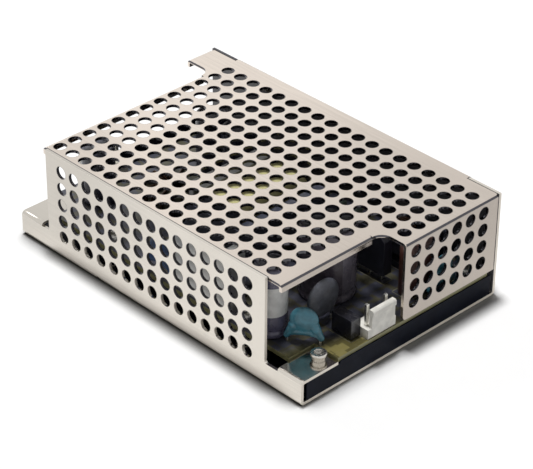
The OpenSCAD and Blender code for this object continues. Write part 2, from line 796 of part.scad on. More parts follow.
// Rounds the lower corner of the front flange beside the connector
module flange_corner() {
    translate([front_cut_x, front_y + sheet_t + over, cover_h - flange_drop])
        rotate([90, 0, 0]) linear_extrude(sheet_t + 2 * over) difference() {
            translate([-over, -over]) square(flange_r + over);
            translate([flange_r, flange_r]) circle(flange_r);
        }
}

// Seat of a flush cover screw, cut from z = 0
module countersink() {
    cylinder(sheet_t, d1 = flush_head_d + 2 * screw_gap, d2 = screw_d + 2 * screw_gap);
    cylinder(sheet_t + over, d = screw_d + 2 * screw_gap);
}

module cover_screws() {
    color([0.72, 0.71, 0.68]) for (y = cover_screw_spots)
        translate([far_x, y, cover_h - cover_screw_drop]) rotate([0, -90, 0]) difference() {
            union() {
                cylinder(sheet_t, d1 = flush_head_d, d2 = screw_d);
                cylinder(cover_screw_l, d = screw_d);
            }
            mirror([0, 0, 1]) cross_recess();
        }
}

module earth_post() {
    color([0.76, 0.74, 0.70]) translate([post_spot[0], post_spot[1], strip_h]) difference() {
        union() {
            translate([0, 0, -sheet_t]) cylinder(sheet_t + eps, d = standoff_foot_d);
            cylinder(post_h - post_ring_h, d = post_d - 2 * post_chamfer);
            translate([0, 0, post_h - post_ring_h]) cylinder(post_ring_h - post_chamfer / 2, d = post_d);
            translate([0, 0, post_h - post_chamfer / 2])
                cylinder(post_chamfer / 2, d1 = post_d, d2 = post_d - post_chamfer);
        }
        translate([0, 0, -sheet_t - over]) cylinder(post_h + sheet_t + 2 * over, d = post_bore_d);
    }
}

// Film on the base, turned up before the board's lower front edge and behind its back edge beside the header
module insulation_sheet() {
    in = sheet_t + bend_r + insulation_gap;
    near = near_x + in;
    far = chassis_far_x - in;
    front = front_y + board_end_gap;
    back = back_y - board_end_gap;
    beside_tab = near_x + tab_w + insulation_gap;
    under_tab = strip_h - sheet_t - insulation_room;
    color([0.10, 0.11, 0.16]) difference() {
        union() {
            block([near, front, sheet_t], [far, back, sheet_t + insulation_t]);
            block([near, front, sheet_t], [far, front + insulation_t, under_tab]);
            block([beside_tab, front, sheet_t], [far, front + insulation_t, board_under + board_t / 2]);
            block([rear_header[0], back - insulation_t, sheet_t], [far, back, board_top + insulation_rise]);
        }
        for (p = mount_spots) translate([p[0], p[1], 0])
            cylinder(board_lift, d = mount_d + 2 * collar_t + 2 * insulation_gap);
        for (p = stand_spots) translate([p[0], p[1], 0])
            cylinder(board_lift, d = standoff_d + insulation_gap);
    }
}

module board_standoffs() {
    color([0.76, 0.74, 0.68]) for (p = stand_spots) translate([p[0], p[1], 0]) difference() {
        union() {
            cylinder(sheet_t + eps, d = standoff_foot_d);
            translate([0, 0, sheet_t]) cylinder(board_lift, d = standoff_d);
        }
        translate([0, 0, -over]) cylinder(board_under + 2 * over, d = screw_d + 2 * screw_gap);
    }
}

module circuit_board() {
    notch = [near_x + tab_w + tab_gap, tab_l + tab_gap];
    color([0.58, 0.55, 0.24]) difference() {
        block([board_near, board_front, board_under], [board_far, board_back, board_top]);
        for (y = [[front_y, front_y + notch[1]], [back_y - notch[1], back_y]])
            block([near_x, y[0], 0], [notch[0], y[1], board_top + over]);
        for (p = stand_spots) board_hole(p, screw_d / 2 + 2 * screw_gap);
        for (p = round_leads) board_hole(p, lead_hole_r);
        for (p = power_legs) board_hole(p, power_hole_r);
        for (p = chip_legs) board_hole(p, chip_hole_r);
        for (p = concat(front_pins, rear_pins)) board_hole(p, pin_hole_r);
        for (p = ring_ends) board_hole(p, ring_wire / 2 + lead_gap);
    }
}

module board_hole(p, r) {
    translate([p[0], p[1], board_under - over]) cylinder(board_t + 2 * over, r = r);
}

module board_screws() {
    color([0.74, 0.73, 0.70]) for (p = stand_spots)
        translate([p[0], p[1], board_top]) pan_screw(board_screw_l);
}

// Pin header housing with its locking wall towards -y and its middle pin at the origin
module header_housing(places) {
    length = places * pin_pitch;
    wall_l = length - 2 * header_wall_in;
    difference() {
        union() {
            translate([-length / 2, -header_wall_out, 0]) cube([length, header_base_d, header_base_h]);
            translate([header_wall_shift - wall_l / 2, -header_wall_out, 0]) rotate([90, 0, 90])
                linear_extrude(wall_l) header_wall_outline();
        }
        for (i = [0:places - 1]) translate([(i - (places - 1) / 2) * pin_pitch, 0, header_base_h / 2])
            cube([pin_w + 2 * pin_gap, pin_w + 2 * pin_gap, header_base_h + 2 * over], center = true);
    }
}

// Locking wall seen from its end, with a sloping lip at its top
module header_wall_outline() {
    lip_z = header_wall_h - lip_tall;
    polygon([
        [0, 0], [header_wall_t, 0], [header_wall_t, lip_z], [header_wall_t + lip_out, lip_z + lip_out],
        [header_wall_t, header_wall_h], [0, header_wall_h], [-lip_out, header_wall_h - lip_out],
        [-lip_out, lip_z], [0, lip_z]
    ]);
}

// Square pin through the board
module header_pin(p) {
    translate([p[0] - pin_w / 2, p[1] - pin_w / 2, board_under - lead_out])
        cube([pin_w, pin_w, pin_h + board_t + lead_out]);
}

module front_header_housing() {
    color([0.86, 0.85, 0.80]) translate([front_header[0], front_header[1], board_top])
        header_housing(front_header_n);
}

module front_header_pins() {
    color([0.80, 0.79, 0.74]) for (p = front_pins) header_pin(p);
}

module rear_header_housing() {
    color([0.86, 0.85, 0.80]) translate([rear_header[0], rear_header[1], board_top]) rotate(180)
        header_housing(rear_header_n);
}

module rear_header_pins() {
    color([0.80, 0.79, 0.74]) for (p = rear_pins) header_pin(p);
}

module fuse() {
    middle_z = board_top + fuse_lift + fuse_size[2] / 2;
    color([0.10, 0.10, 0.12]) translate([fuse_spot[0], fuse_spot[1], middle_z])
        cube(fuse_size, center = true);
}

// Dipped disc on two coated feet, its face along x, standing on z = 0
module coated_disc(d, t, pitch, middle_h) {
    edge_r = t / 2;
    root_x = min(d, pitch) / 2 - disc_root_r;
    root_z = middle_h + disc_root_r - sqrt(d * d / 4 - root_x * root_x);
    translate([0, 0, middle_h]) rotate([90, 0, 0]) rotate_extrude() intersection() {
        union() {
            translate([0, -t / 2]) square([d / 2 - edge_r, t]);
            translate([d / 2 - edge_r, 0]) circle(edge_r);
        }
        translate([0, -t]) square([d, 2 * t]);
    }
    for (s = [-1, 1]) {
        lean = atan2(s * (pitch / 2 - root_x), root_z - disc_foot_h - disc_foot_r);
        reach = norm([pitch / 2 - root_x, root_z - disc_foot_h - disc_foot_r]);
        translate([s * root_x, 0, root_z]) rotate([0, 180 - lean, 0])
            cylinder(reach, r1 = disc_root_r, r2 = disc_foot_r);
        translate([s * pitch / 2, 0, disc_foot_h + disc_foot_r]) sphere(disc_foot_r);
        translate([s * pitch / 2, 0, disc_foot_h]) cylinder(disc_foot_r, r = disc_foot_r);
    }
}

module disc_capacitor(p, turn) {
    translate([p[0], p[1], board_top]) rotate(turn) coated_disc(disc_d, disc_t, disc_pitch, disc_h);
}

module front_disc_capacitor() {
    color([0.22, 0.44, 0.52]) disc_capacitor(front_disc, front_disc_turn);
}

module flange_disc_capacitor() {
    color([0.22, 0.44, 0.52]) disc_capacitor(flange_disc, 0);
}

module near_disc_capacitor() {
    color([0.16, 0.30, 0.48]) disc_capacitor(near_disc, 90);
}

module inrush_thermistor() {
    color([0.22, 0.22, 0.25]) translate([thermistor[0], thermistor[1], board_top])
        coated_disc(thermistor_d, disc_t, thermistor_pitch, thermistor_d / 2 + disc_foot_h + disc_foot_r);
}

// Round can standing on the board, with a rolled groove and a scored top
module can(p, d, h) {
    translate([p[0], p[1], board_top + can_lift]) difference() {
        rotate_extrude() difference() {
            union() {
                square([d / 2 - can_edge_r, h]);
                translate([0, can_edge_r]) square([d / 2, h - 2 * can_edge_r]);
                for (z = [can_edge_r, h - can_edge_r]) translate([d / 2 - can_edge_r, z]) circle(can_edge_r);
            }
            translate([d / 2 + can_groove_r / 2, can_groove_z]) circle(can_groove_r);
            translate([0, h - can_top_deep]) square([d / 2 - can_top_in, can_top_deep + over]);
        }
        for (a = [0, 60, 120]) rotate(a) translate([0, 0, h - can_top_deep])
            cube([d - 2 * can_top_in - 2 * vent_in, vent_w, can_top_deep], center = true);
    }
}

module input_capacitor() {
    color([0.27, 0.27, 0.32]) can(input_can, input_can_d, input_can_h);
}

module bulk_capacitor() {
    color([0.23, 0.23, 0.27]) can(bulk, bulk_d, bulk_h);
}

module near_output_capacitor() {
    color([0.12, 0.12, 0.15]) can(output_cans[0], output_can_d, output_can_h);
}

module front_output_capacitor() {
    color([0.12, 0.12, 0.15]) can(output_cans[1], output_can_d, output_can_h);
}

module rear_output_capacitor() {
    color([0.12, 0.12, 0.15]) can(output_cans[2], output_can_d, output_can_h);
}

// Dipped film capacitor with rounded upright edges
module line_filter_capacitor() {
    size = film_size / 2;
    r = film_size[1] / 2 - eps;
    color([0.36, 0.16, 0.12]) translate([film[0], film[1], board_top + film_lift]) intersection() {
        linear_extrude(film_size[2]) {
            for (s = [-1, 1]) translate([s * (size[0] - r), 0]) circle(r);
            square([film_size[0] - 2 * r, 2 * r], center = true);
        }
        translate([0, size[1] + eps, 0]) rotate([90, 0, 0]) linear_extrude(film_size[1] + 2 * eps) {
            translate([-size[0], 0]) square([film_size[0], film_size[2] - r]);
            for (s = [-1, 1]) translate([s * (size[0] - r), film_size[2] - r]) circle(r);
            translate([r - size[0], 0]) square([film_size[0] - 2 * r, film_size[2]]);
        }
    }
}

module filter_choke_core() {
    window = [choke_size[0], choke_size[1]] - 2 * [choke_leg, choke_leg];
    under = board_top + choke_lift - choke_size[2] / 2;
    color([0.16, 0.16, 0.17]) translate([choke[0], choke[1], under])
        linear_extrude(choke_size[2]) difference() {
            square([choke_size[0], choke_size[1]], center = true);
            square(window, center = true);
        }
}

// Base with a slot for each winding and flanges on both legs of the core
module filter_choke_base() {
    size = [choke_size[0], choke_size[1] + choke_coil_d - choke_leg, choke_base_h];
    leg = choke_leg + 2 * winding_gap;
    flange_d = choke_coil_d + 2 * choke_flange_out;
    flange_h = choke_lift + flange_d / 2;
    color([0.13, 0.13, 0.14]) translate([choke[0], choke[1], board_top]) difference() {
        union() {
            translate([0, 0, size[2] / 2]) cube(size, center = true);
            for (y = [-1, 1] * choke_leg_y, s = [-1, 1])
                translate([s * (choke_coil_l / 2 + winding_gap + choke_flange_t / 2), y, flange_h / 2])
                    cube([choke_flange_t, flange_d, flange_h], center = true);
        }
        for (y = [-1, 1] * choke_leg_y) translate([0, y, choke_lift])
            cube([choke_size[0] + 2 * over, leg, choke_size[2] + 2 * winding_gap], center = true);
        for (y = [-1, 1] * choke_leg_y) translate([-choke_coil_l / 2 - winding_gap, y, choke_lift])
            rotate([0, 90, 0]) cylinder(choke_coil_l + 2 * winding_gap, d = choke_coil_d + 2 * winding_gap);
    }
}

// Two wound coils, each a row of wire turns on one leg of the core
module filter_choke_windings() {
    turns = floor(choke_coil_l / choke_wire);
    length = turns * choke_wire;
    hole = [choke_size[2], choke_leg] + 2 * [winding_gap, winding_gap];
    body_r = choke_coil_d / 2 - choke_wire / 2;
    axis_z = board_top + choke_lift;
    color([0.55, 0.30, 0.14]) for (y = [-1, 1] * choke_leg_y)
        translate([choke[0] - length / 2, choke[1] + y, axis_z]) rotate([0, 90, 0]) difference() {
            rotate_extrude() {
                square([body_r, length]);
                for (i = [0:turns - 1]) translate([body_r, (i + 0.5) * choke_wire]) circle(choke_wire / 2);
            }
            translate([0, 0, length / 2]) cube([hole[0], hole[1], length + 2 * over], center = true);
        }
}

// Flat bridge with one cut corner, standing on its four leads
module bridge_rectifier() {
    size = bridge_size;
    color([0.12, 0.12, 0.13]) translate([bridge[0] - size[0] / 2, bridge[1], board_top + bridge_lift])
        rotate([90, 0, 90]) linear_extrude(size[0]) difference() {
            polygon([
                [-size[1] / 2, 0], [size[1] / 2, 0], [size[1] / 2, size[2]],
                [bridge_chamfer - size[1] / 2, size[2]], [-size[1] / 2, size[2] - bridge_chamfer]
            ]);
            translate([0, bridge_hole_up]) circle(d = screw_d + 2 * screw_gap);
        }
}

// Upright plate with a short wing, its flat face towards +x
module primary_heatsink() {
    half = [sink_t, primary_sink_l] / 2;
    color([0.78, 0.78, 0.77]) difference() {
        translate([primary_sink[0], primary_sink[1], board_top]) linear_extrude(primary_sink_h) {
            translate(-half) square([sink_t, primary_sink_l]);
            translate(-half) square([primary_wing + sink_t, sink_t]);
        }
        translate([transistor[0] + over, transistor[1], power_screw_z()]) rotate([0, -90, 0])
            cylinder(sink_t + 2 * over, d = screw_d + 2 * screw_gap);
    }
}

// Upright plate with a flange along its top towards the transformer
module secondary_heatsink() {
    half = [secondary_sink_l, sink_t] / 2;
    color([0.74, 0.74, 0.73]) difference() {
        translate([secondary_sink[0], secondary_sink[1], board_top]) {
            translate([-half[0], -half[1], 0]) cube([secondary_sink_l, sink_t, secondary_sink_h]);
            translate([-half[0], half[1] - secondary_flange, secondary_sink_h - sink_t])
                cube([secondary_sink_l, secondary_flange, sink_t]);
        }
        for (p = rectifiers) translate([p[0], p[1] + over, power_screw_z()]) rotate([90, 0, 0])
            cylinder(sink_t + 2 * over, d = screw_d + 2 * screw_gap);
    }
}

function power_screw_z() = board_top + power_lift + power_body[2] + power_hole_up;

// Power package with its metal back at y = 0, its middle at x = 0 and its body's underside at z = 0
module power_package() {
    difference() {
        union() {
            translate([-power_body[0] / 2, 0, 0]) cube(power_body);
            translate([-power_body[0] / 2, 0, 0])
                cube([power_body[0], power_tab_t, power_body[2] + power_tab_h]);
            for (i = [-1:1]) translate([i * power_pitch, power_lead_y, -power_lead_drop])
                translate(-power_lead / 2) cube([power_lead[0], power_lead[1], power_lead_drop + eps]);
        }
        translate([0, power_tab_t + over, power_body[2] + power_hole_up]) rotate([90, 0, 0])
            cylinder(power_tab_t + 2 * over, d = screw_d + 2 * screw_gap);
    }
}

module switching_transistor() {
    color([0.14, 0.14, 0.15]) translate([transistor[0], transistor[1], board_top + power_lift])
        rotate(-90) power_package();
}

module rectifier(p) {
    color([0.14, 0.14, 0.15]) translate([p[0], p[1], board_top + power_lift]) power_package();
}

module left_rectifier() {
    rectifier(rectifiers[0]);
}

module right_rectifier() {
    rectifier(rectifiers[1]);
}

module transistor_screws() {
    length = power_tab_t + sink_t;
    color([0.72, 0.71, 0.68]) {
        translate([transistor[0] + power_tab_t, transistor[1], power_screw_z()])
            rotate([0, 90, 0]) pan_screw(length);
        for (p = rectifiers) translate([p[0], p[1] + power_tab_t, power_screw_z()])
            rotate([-90, 0, 0]) pan_screw(length);
    }
}

// Ferrite core lying flat, with its middle limb along x
module transformer_core() {
    window_w = (core_size[1] - 2 * core_leg - core_limb) / 2;
    color([0.20, 0.20, 0.21]) translate([transformer[0], transformer[1], board_top + core_lift])
        linear_extrude(core_size[2]) difference() {
            square([core_size[0], core_size[1]], center = true);
            for (s = [-1, 1]) translate([0, s * (core_limb + window_w) / 2])
                square([core_window, window_w], center = true);
        }
}

// Bobbin with a square tube, two flanges and two rails that carry the core
module transformer_bobbin() {
    hole = [core_limb, core_size[2]] + 2 * [winding_gap, winding_gap];
    tube = hole + 2 * [bobbin_t, bobbin_t];
    length = core_window - 2 * winding_gap;
    flange_h = winding_size[1];
    rail = [(core_size[0] - length) / 2 + bobbin_t, core_size[1] - 2 * bobbin_rail_in, bobbin_base_h];
    color([0.12, 0.12, 0.12]) translate([transformer[0], transformer[1], board_top]) difference() {
        union() {
            translate([0, 0, core_mid_h]) cube([length, tube[0], tube[1]], center = true);
            for (s = [-1, 1]) {
                translate([s * (length - bobbin_t) / 2, 0, core_mid_h])
                    cube([bobbin_t, bobbin_w, flange_h], center = true);
                translate([s * (core_size[0] - rail[0]) / 2, 0, rail[2] / 2]) cube(rail, center = true);
            }
        }
        translate([0, 0, core_mid_h]) cube([core_size[0], hole[0], hole[1]], center = true);
    }
}

// Taped winding round the bobbin's tube
module transformer_winding() {
    tube = [core_limb, core_size[2]] + 2 * (bobbin_t + 2 * winding_gap) * [1, 1];
    r = winding_r;
    w = winding_size[0];
    h = winding_size[1];
    color([0.72, 0.70, 0.38]) translate([transformer[0], transformer[1], board_top + core_mid_h])
        rotate([90, 0, 90]) linear_extrude(winding_l, center = true) difference() {
            union() {
                square([w - 2 * r, h], center = true);
                square([w, h - 2 * r], center = true);
                for (x = [-1, 1], y = [-1, 1]) translate([x * (w / 2 - r), y * (h / 2 - r)]) circle(r);
            }
            square(tube, center = true);
        }
}

// Ring core lying flat above the board
module output_choke_core() {
    color([0.55, 0.56, 0.30]) translate([ring[0], ring[1], board_top + ring_lift]) rotate_extrude()
        translate([ring_bore / 2, 0]) square([(ring_d - ring_bore) / 2, ring_h]);
}

// Points of a quarter bend in a turn of wire, as [radius, height, angle round the ring]
function ring_bend(r, z, from, turn, a) = [
    for (t = [0.25, 0.75]) let (b = from + t * turn) [r + ring_bend_r * cos(b), z + ring_bend_r * sin(b), a]
];

// Whole course of the wire: up the outside, over, down the bore and back under to the next turn
function ring_course() = let (
    step = ring_arc / ring_turns,
    out = ring_out - ring_bend_r,
    in = ring_in + ring_bend_r,
    low = ring_low + ring_bend_r,
    high = ring_high - ring_bend_r,
    foot_z = -board_t - lead_out,
    last = ring_start + ring_arc
) concat(
    [[ring_out, foot_z, ring_start]],
    [for (i = [0:ring_turns - 1]) let (a = ring_start + i * step) each concat(
        i > 0 ? ring_bend(out, low, -90, 90, a) : [],
        ring_bend(out, high, 0, 90, a),
        ring_bend(in, high, 90, 90, a),
        ring_bend(in, low, 180, 90, a)
    )],
    ring_bend(out, ring_low - ring_bend_r, 90, -90, last),
    [[ring_out, foot_z, last]]
);

// Round bar along a course round the ring's axis, with a ring of corners at each point
module swept_wire(course, d, sides) {
    count = len(course);
    points = [for (c = course) at(c[0], c[2], c[1])];
    corners = [for (i = [0:count - 1]) let (
        along = points[min(i + 1, count - 1)] - points[max(i - 1, 0)],
        round_axis = at(1, course[i][2] + 90, 0),
        up_raw = cross(round_axis, along),
        up = up_raw / norm(up_raw),
        side_raw = cross(along, up),
        side = side_raw / norm(side_raw)
    ) for (k = [0:sides - 1]) points[i] + d / 2 * (cos(360 * k / sides) * side + sin(360 * k / sides) * up)];
    skin = [for (i = [0:count - 2], k = [0:sides - 1]) let (
        next = (k + 1) % sides,
        a = i * sides,
        b = a + sides
    ) each [[a + k, b + next, a + next], [a + k, b + k, b + next]]];
    first_end = [for (k = [0:sides - 1]) k];
    last_end = [for (k = [0:sides - 1]) count * sides - 1 - k];
    polyhedron(corners, concat(skin, [first_end, last_end]));
}

// One wire wound round the ring core, its two ends going down through the board
module output_choke_winding() {
    color([0.62, 0.34, 0.16]) translate([ring[0], ring[1], board_top])
        swept_wire(ring_course(), ring_wire, wire_sides);
}

// Moulded chip on two rows of legs
module chip(p, length, legs) {
    size = [chip_body[0], length, chip_body[2]];
    drop = chip_lift + chip_body[2] / 2;
    color([0.11, 0.11, 0.12]) translate([p[0], p[1], board_top]) {
        translate([0, 0, chip_lift + size[2] / 2]) cube(size, center = true);
        for (s = [-1, 1], i = [0:legs - 1]) translate([0, (i - (legs - 1) / 2) * chip_pitch, 0]) {
            x = s * chip_spread / 2;
            translate([x - chip_leg[1] / 2, -chip_leg[0] / 2, -board_t - lead_out])
                cube([chip_leg[1], chip_leg[0], drop + board_t + lead_out]);
            translate([s > 0 ? size[0] / 2 - eps : x - chip_leg[1] / 2, -chip_leg[0] / 2, drop - chip_leg[1]])
                cube([(chip_spread - size[0] + chip_leg[1]) / 2 + eps, chip_leg[0], chip_leg[1]]);
        }
    }
}

module controller_chip() {
    chip(controller, chip_body[1], 4);
}

module optocoupler() {
    chip(optocoupler_spot, opto_l, 2);
}

// Axial resistors lying along x
module power_resistors() {
    r = resistor_size[0] / 2;
    color([0.45, 0.47, 0.44]) for (p = resistors)
        translate([p[0] - resistor_size[1] / 2, p[1], resistor_axis]) rotate([0, 90, 0]) rotate_extrude() {
            for (z = [0, resistor_size[1] - resistor_cap]) translate([0, z]) square([r, resistor_cap]);
            square([r - resistor_waist, resistor_size[1]]);
        }
}

module wire_leads() {
    color([0.78, 0.77, 0.73]) {
        for (p = round_leads) translate([p[0], p[1], board_under - lead_out])
            cylinder(p[2] - board_under + lead_out, d = lead_d);
        for (p = resistors, s = [-1, 1])
            translate([p[0] + s * resistor_size[1] / 2, p[1], resistor_axis]) rotate([0, s * 90, 0]) {
                cylinder(resistor_reach, d = lead_d);
                translate([0, 0, resistor_reach]) sphere(d = lead_d);
            }
    }
}

chassis();
cover();
cover_screws();
earth_post();
insulation_sheet();
board_standoffs();
circuit_board();
board_screws();
front_header_housing();
front_header_pins();
fuse();
front_disc_capacitor();
flange_disc_capacitor();
near_disc_capacitor();
inrush_thermistor();
input_capacitor();
line_filter_capacitor();
filter_choke_core();
filter_choke_base();
filter_choke_windings();
bridge_rectifier();
bulk_capacitor();
primary_heatsink();
switching_transistor();
transistor_screws();
transformer_core();
transformer_bobbin();
transformer_winding();
secondary_heatsink();
left_rectifier();
right_rectifier();
near_output_capacitor();
front_output_capacitor();
rear_output_capacitor();
output_choke_core();
output_choke_winding();
rear_header_housing();
rear_header_pins();
controller_chip();
optocoupler();
power_resistors();
wire_leads();
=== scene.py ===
"""Dresses the enclosed switching power supply: finishes, rounded edges, fine pieces, studio and camera.

Lengths and places are in metres and in the row frame.
"""

import logging
import math
from dataclasses import dataclass
from enum import Enum
from functools import cached_property
from typing import Callable, Iterable, Mapping, Sequence

import bmesh
import bpy
from mathutils import Matrix, Vector


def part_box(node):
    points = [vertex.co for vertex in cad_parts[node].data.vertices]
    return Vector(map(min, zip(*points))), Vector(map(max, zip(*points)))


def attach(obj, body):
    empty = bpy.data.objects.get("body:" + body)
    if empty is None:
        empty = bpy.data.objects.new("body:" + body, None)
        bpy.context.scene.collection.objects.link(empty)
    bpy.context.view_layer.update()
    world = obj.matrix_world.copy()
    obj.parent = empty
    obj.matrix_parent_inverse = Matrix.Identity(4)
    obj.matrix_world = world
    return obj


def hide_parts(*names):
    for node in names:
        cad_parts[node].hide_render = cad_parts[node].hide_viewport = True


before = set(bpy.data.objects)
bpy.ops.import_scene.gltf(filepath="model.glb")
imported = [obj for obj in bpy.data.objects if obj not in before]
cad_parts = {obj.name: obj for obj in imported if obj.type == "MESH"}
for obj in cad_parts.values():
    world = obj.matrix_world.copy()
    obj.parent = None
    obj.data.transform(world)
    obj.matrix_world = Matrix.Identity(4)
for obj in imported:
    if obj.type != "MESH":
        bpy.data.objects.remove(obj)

LOG = logging.getLogger("power_supply")
MM = 0.001
BODY = "root"
SAME_SPOT = 0.000002  # metres between vertices that are joined
WAVE_SCALE = 0.314  # scale of a wave texture with bands one metre wide
QUARTER_TURN = (0.5, 1.05, math.pi / 2)  # angles of a rolled corner's points
SHARP_BEND = math.radians(40)  # edges that turn by more than this are rounded
Node, Socket, Tree = bpy.types.Node, bpy.types.NodeSocket, bpy.types.NodeTree
Material, Piece, Mesh = bpy.types.Material, bpy.types.Object, bmesh.types.BMesh
Colour = Place = Ball = tuple[float, float, float]
Point = tuple[float, float]


class Axis(Enum):
    """Row axes that a grain runs along or a sheet lies across."""

    NONE = (0.0, 0.0, 0.0)
    X = (1.0, 0.0, 0.0)
    Y = (0.0, 1.0, 0.0)
    Z = (0.0, 0.0, 1.0)

    def stretch(self, fine: float, along: float) -> Place:
        """Returns texture scales that are fine across the axis and drawn out along it."""
        return tuple(along if a else fine for a in self.value)


class Sleeve(Enum):
    """Ways that the shrunk sleeve of a can is printed."""

    BANDED = "banded"
    STRIPED = "striped"


class Graph:
    """Adds nodes and links to one node tree in a short way."""

    def __init__(self, tree: Tree) -> None:
        """Keeps the tree of a material, world or group."""
        self.tree = tree

    def add(self, kind: str, **settings: object) -> Node:
        """Adds a node to the tree.

        Args:
            kind: Blender's name of the node type, without ShaderNode.
            settings: Properties set on the node.

        Returns:
            The node.
        """
        node = self.tree.nodes.new("ShaderNode" + kind)
        for name, value in settings.items():
            setattr(node, name, value)
        return node

    def feed(self, value: object, into: Socket) -> None:
        """Sets a plain value on a socket, or links another socket to it.

        Args:
            value: Number, vector, colour or output socket.
            into: Input socket.
        """
        if isinstance(value, Socket):
            self.tree.links.new(value, into)
        else:
            into.default_value = (*value, 1.0) if into.type == "RGBA" else value

    def fill(self, node: Node, *first: object, **named: object) -> Node:
        """Feeds inputs of a node.

        Args:
            node: Any node.
            first: Values or sockets for the first inputs.
            named: Input name, with _ for a space, to value or socket.

        Returns:
            The node.
        """
        for value, into in zip(first, node.inputs):
            self.feed(value, into)
        for name, value in named.items():
            self.feed(value, node.inputs[name.replace("_", " ")])
        return node

    def place(self, group: Tree, **values: object) -> Mapping[str, Socket]:
        """Returns the outputs of a shader group that is placed with its own input values."""
        return self.fill(self.add("Group", node_tree=group), **values).outputs

    def math(self, operation: str, a: object, b: object = 0.0, clamp: bool = False) -> Socket:
        """Returns a Math node's result on values or sockets, held between 0 and 1 where it is clamped."""
        return self.fill(self.add("Math", operation=operation, use_clamp=clamp), a, b).outputs[0]

    def vector(self, operation: str, a: object, b: object = Axis.NONE.value, out: str = "Vector") -> Socket:
        """Returns an output of a Vector Math node on vectors or sockets."""
        return self.fill(self.add("VectorMath", operation=operation), a, b).outputs[out]

    def dot(self, a: object, b: object) -> Socket:
        """Returns the dot product of two vectors or sockets."""
        return self.vector("DOT_PRODUCT", a, b, "Value")

    def split(self, vector: Socket) -> Sequence[Socket]:
        """Returns the X, Y and Z of a vector."""
        return self.fill(self.add("SeparateXYZ"), vector).outputs

    def coords(self, kind: str = "Object") -> Socket:
        """Returns texture coordinates of a kind."""
        return self.add("TexCoord").outputs[kind]

    def ramp(self, value: Socket, low: float, high: float) -> Socket:
        """Returns a smooth step from 0, where the value is low, to 1, where it is high."""
        node = self.add("MapRange", interpolation_type="SMOOTHSTEP")
        return self.fill(node, value, low, high).outputs["Result"]

    def mix(self, mask: object, a: object, b: object, blend: str = "MIX") -> Socket:
        """Mixes two colours.

        Args:
            mask: Share of the second colour.
            a: First colour or socket.
            b: Second colour or socket.
            blend: Blend mode.

        Returns:
            The mixed colour.
        """
        node = self.add("Mix", data_type="RGBA", blend_type=blend)
        for index, value in ((0, mask), (6, a), (7, b)):
            self.feed(value, node.inputs[index])
        return node.outputs[2]

    def noise(self, vector: Socket, scale: object, detail: float) -> Socket:
        """Returns a noise texture with a scale, which may be a socket, and a number of finer layers."""
        return self.fill(self.add("TexNoise"), Vector=vector, Scale=scale, Detail=detail).outputs["Fac"]

    def wave(self, axis: str, width: float, profile: str = "SIN", distortion: float = 0.0) -> Socket:
        """Returns bands of a width that follow each other along an axis."""
        node = self.add("TexWave", wave_type="BANDS", bands_direction=axis, wave_profile=profile)
        return self.fill(node, self.coords(), WAVE_SCALE / width, distortion).outputs["Fac"]


class Surface(Graph):
    """The graph of a material with one Principled shader."""

    def __init__(self, material: Material) -> None:
        """Gives a material a new shader.

        Args:
            material: Material whose old nodes are cleared.
        """
        material.use_nodes = True
        material.node_tree.nodes.clear()
        super().__init__(material.node_tree)
        self.shader = self.add("BsdfPrincipled")
        self.fill(self.add("OutputMaterial"), Surface=self.shader.outputs[0])

    def shade(self, **values: object) -> None:
        """Feeds inputs of the shader."""
        self.fill(self.shader, **values)

    def settle(self, under: Socket, amount: float, dust: Colour) -> None:
        """Makes a colour with an amount of dust on it the base colour."""
        mask = self.place(EFFECTS.dust, Amount=amount)["Mask"]
        self.shade(Base_Color=self.mix(mask, under, dust))

    def roughen(self, texture: Socket, spread: float, least: float) -> None:
        """Lets the roughness follow a texture, with a spread above its least value."""
        self.shade(Roughness=self.math("ADD", self.math("MULTIPLY", texture, spread), least))

    def bump(self, height: Socket, depth: float, strength: float) -> None:
        """Lets the normal follow a height of 0 to 1, with a depth and a strength."""
        bump = self.fill(self.add("Bump"), Strength=strength, Distance=depth, Height=height)
        self.shade(Normal=bump.outputs["Normal"])


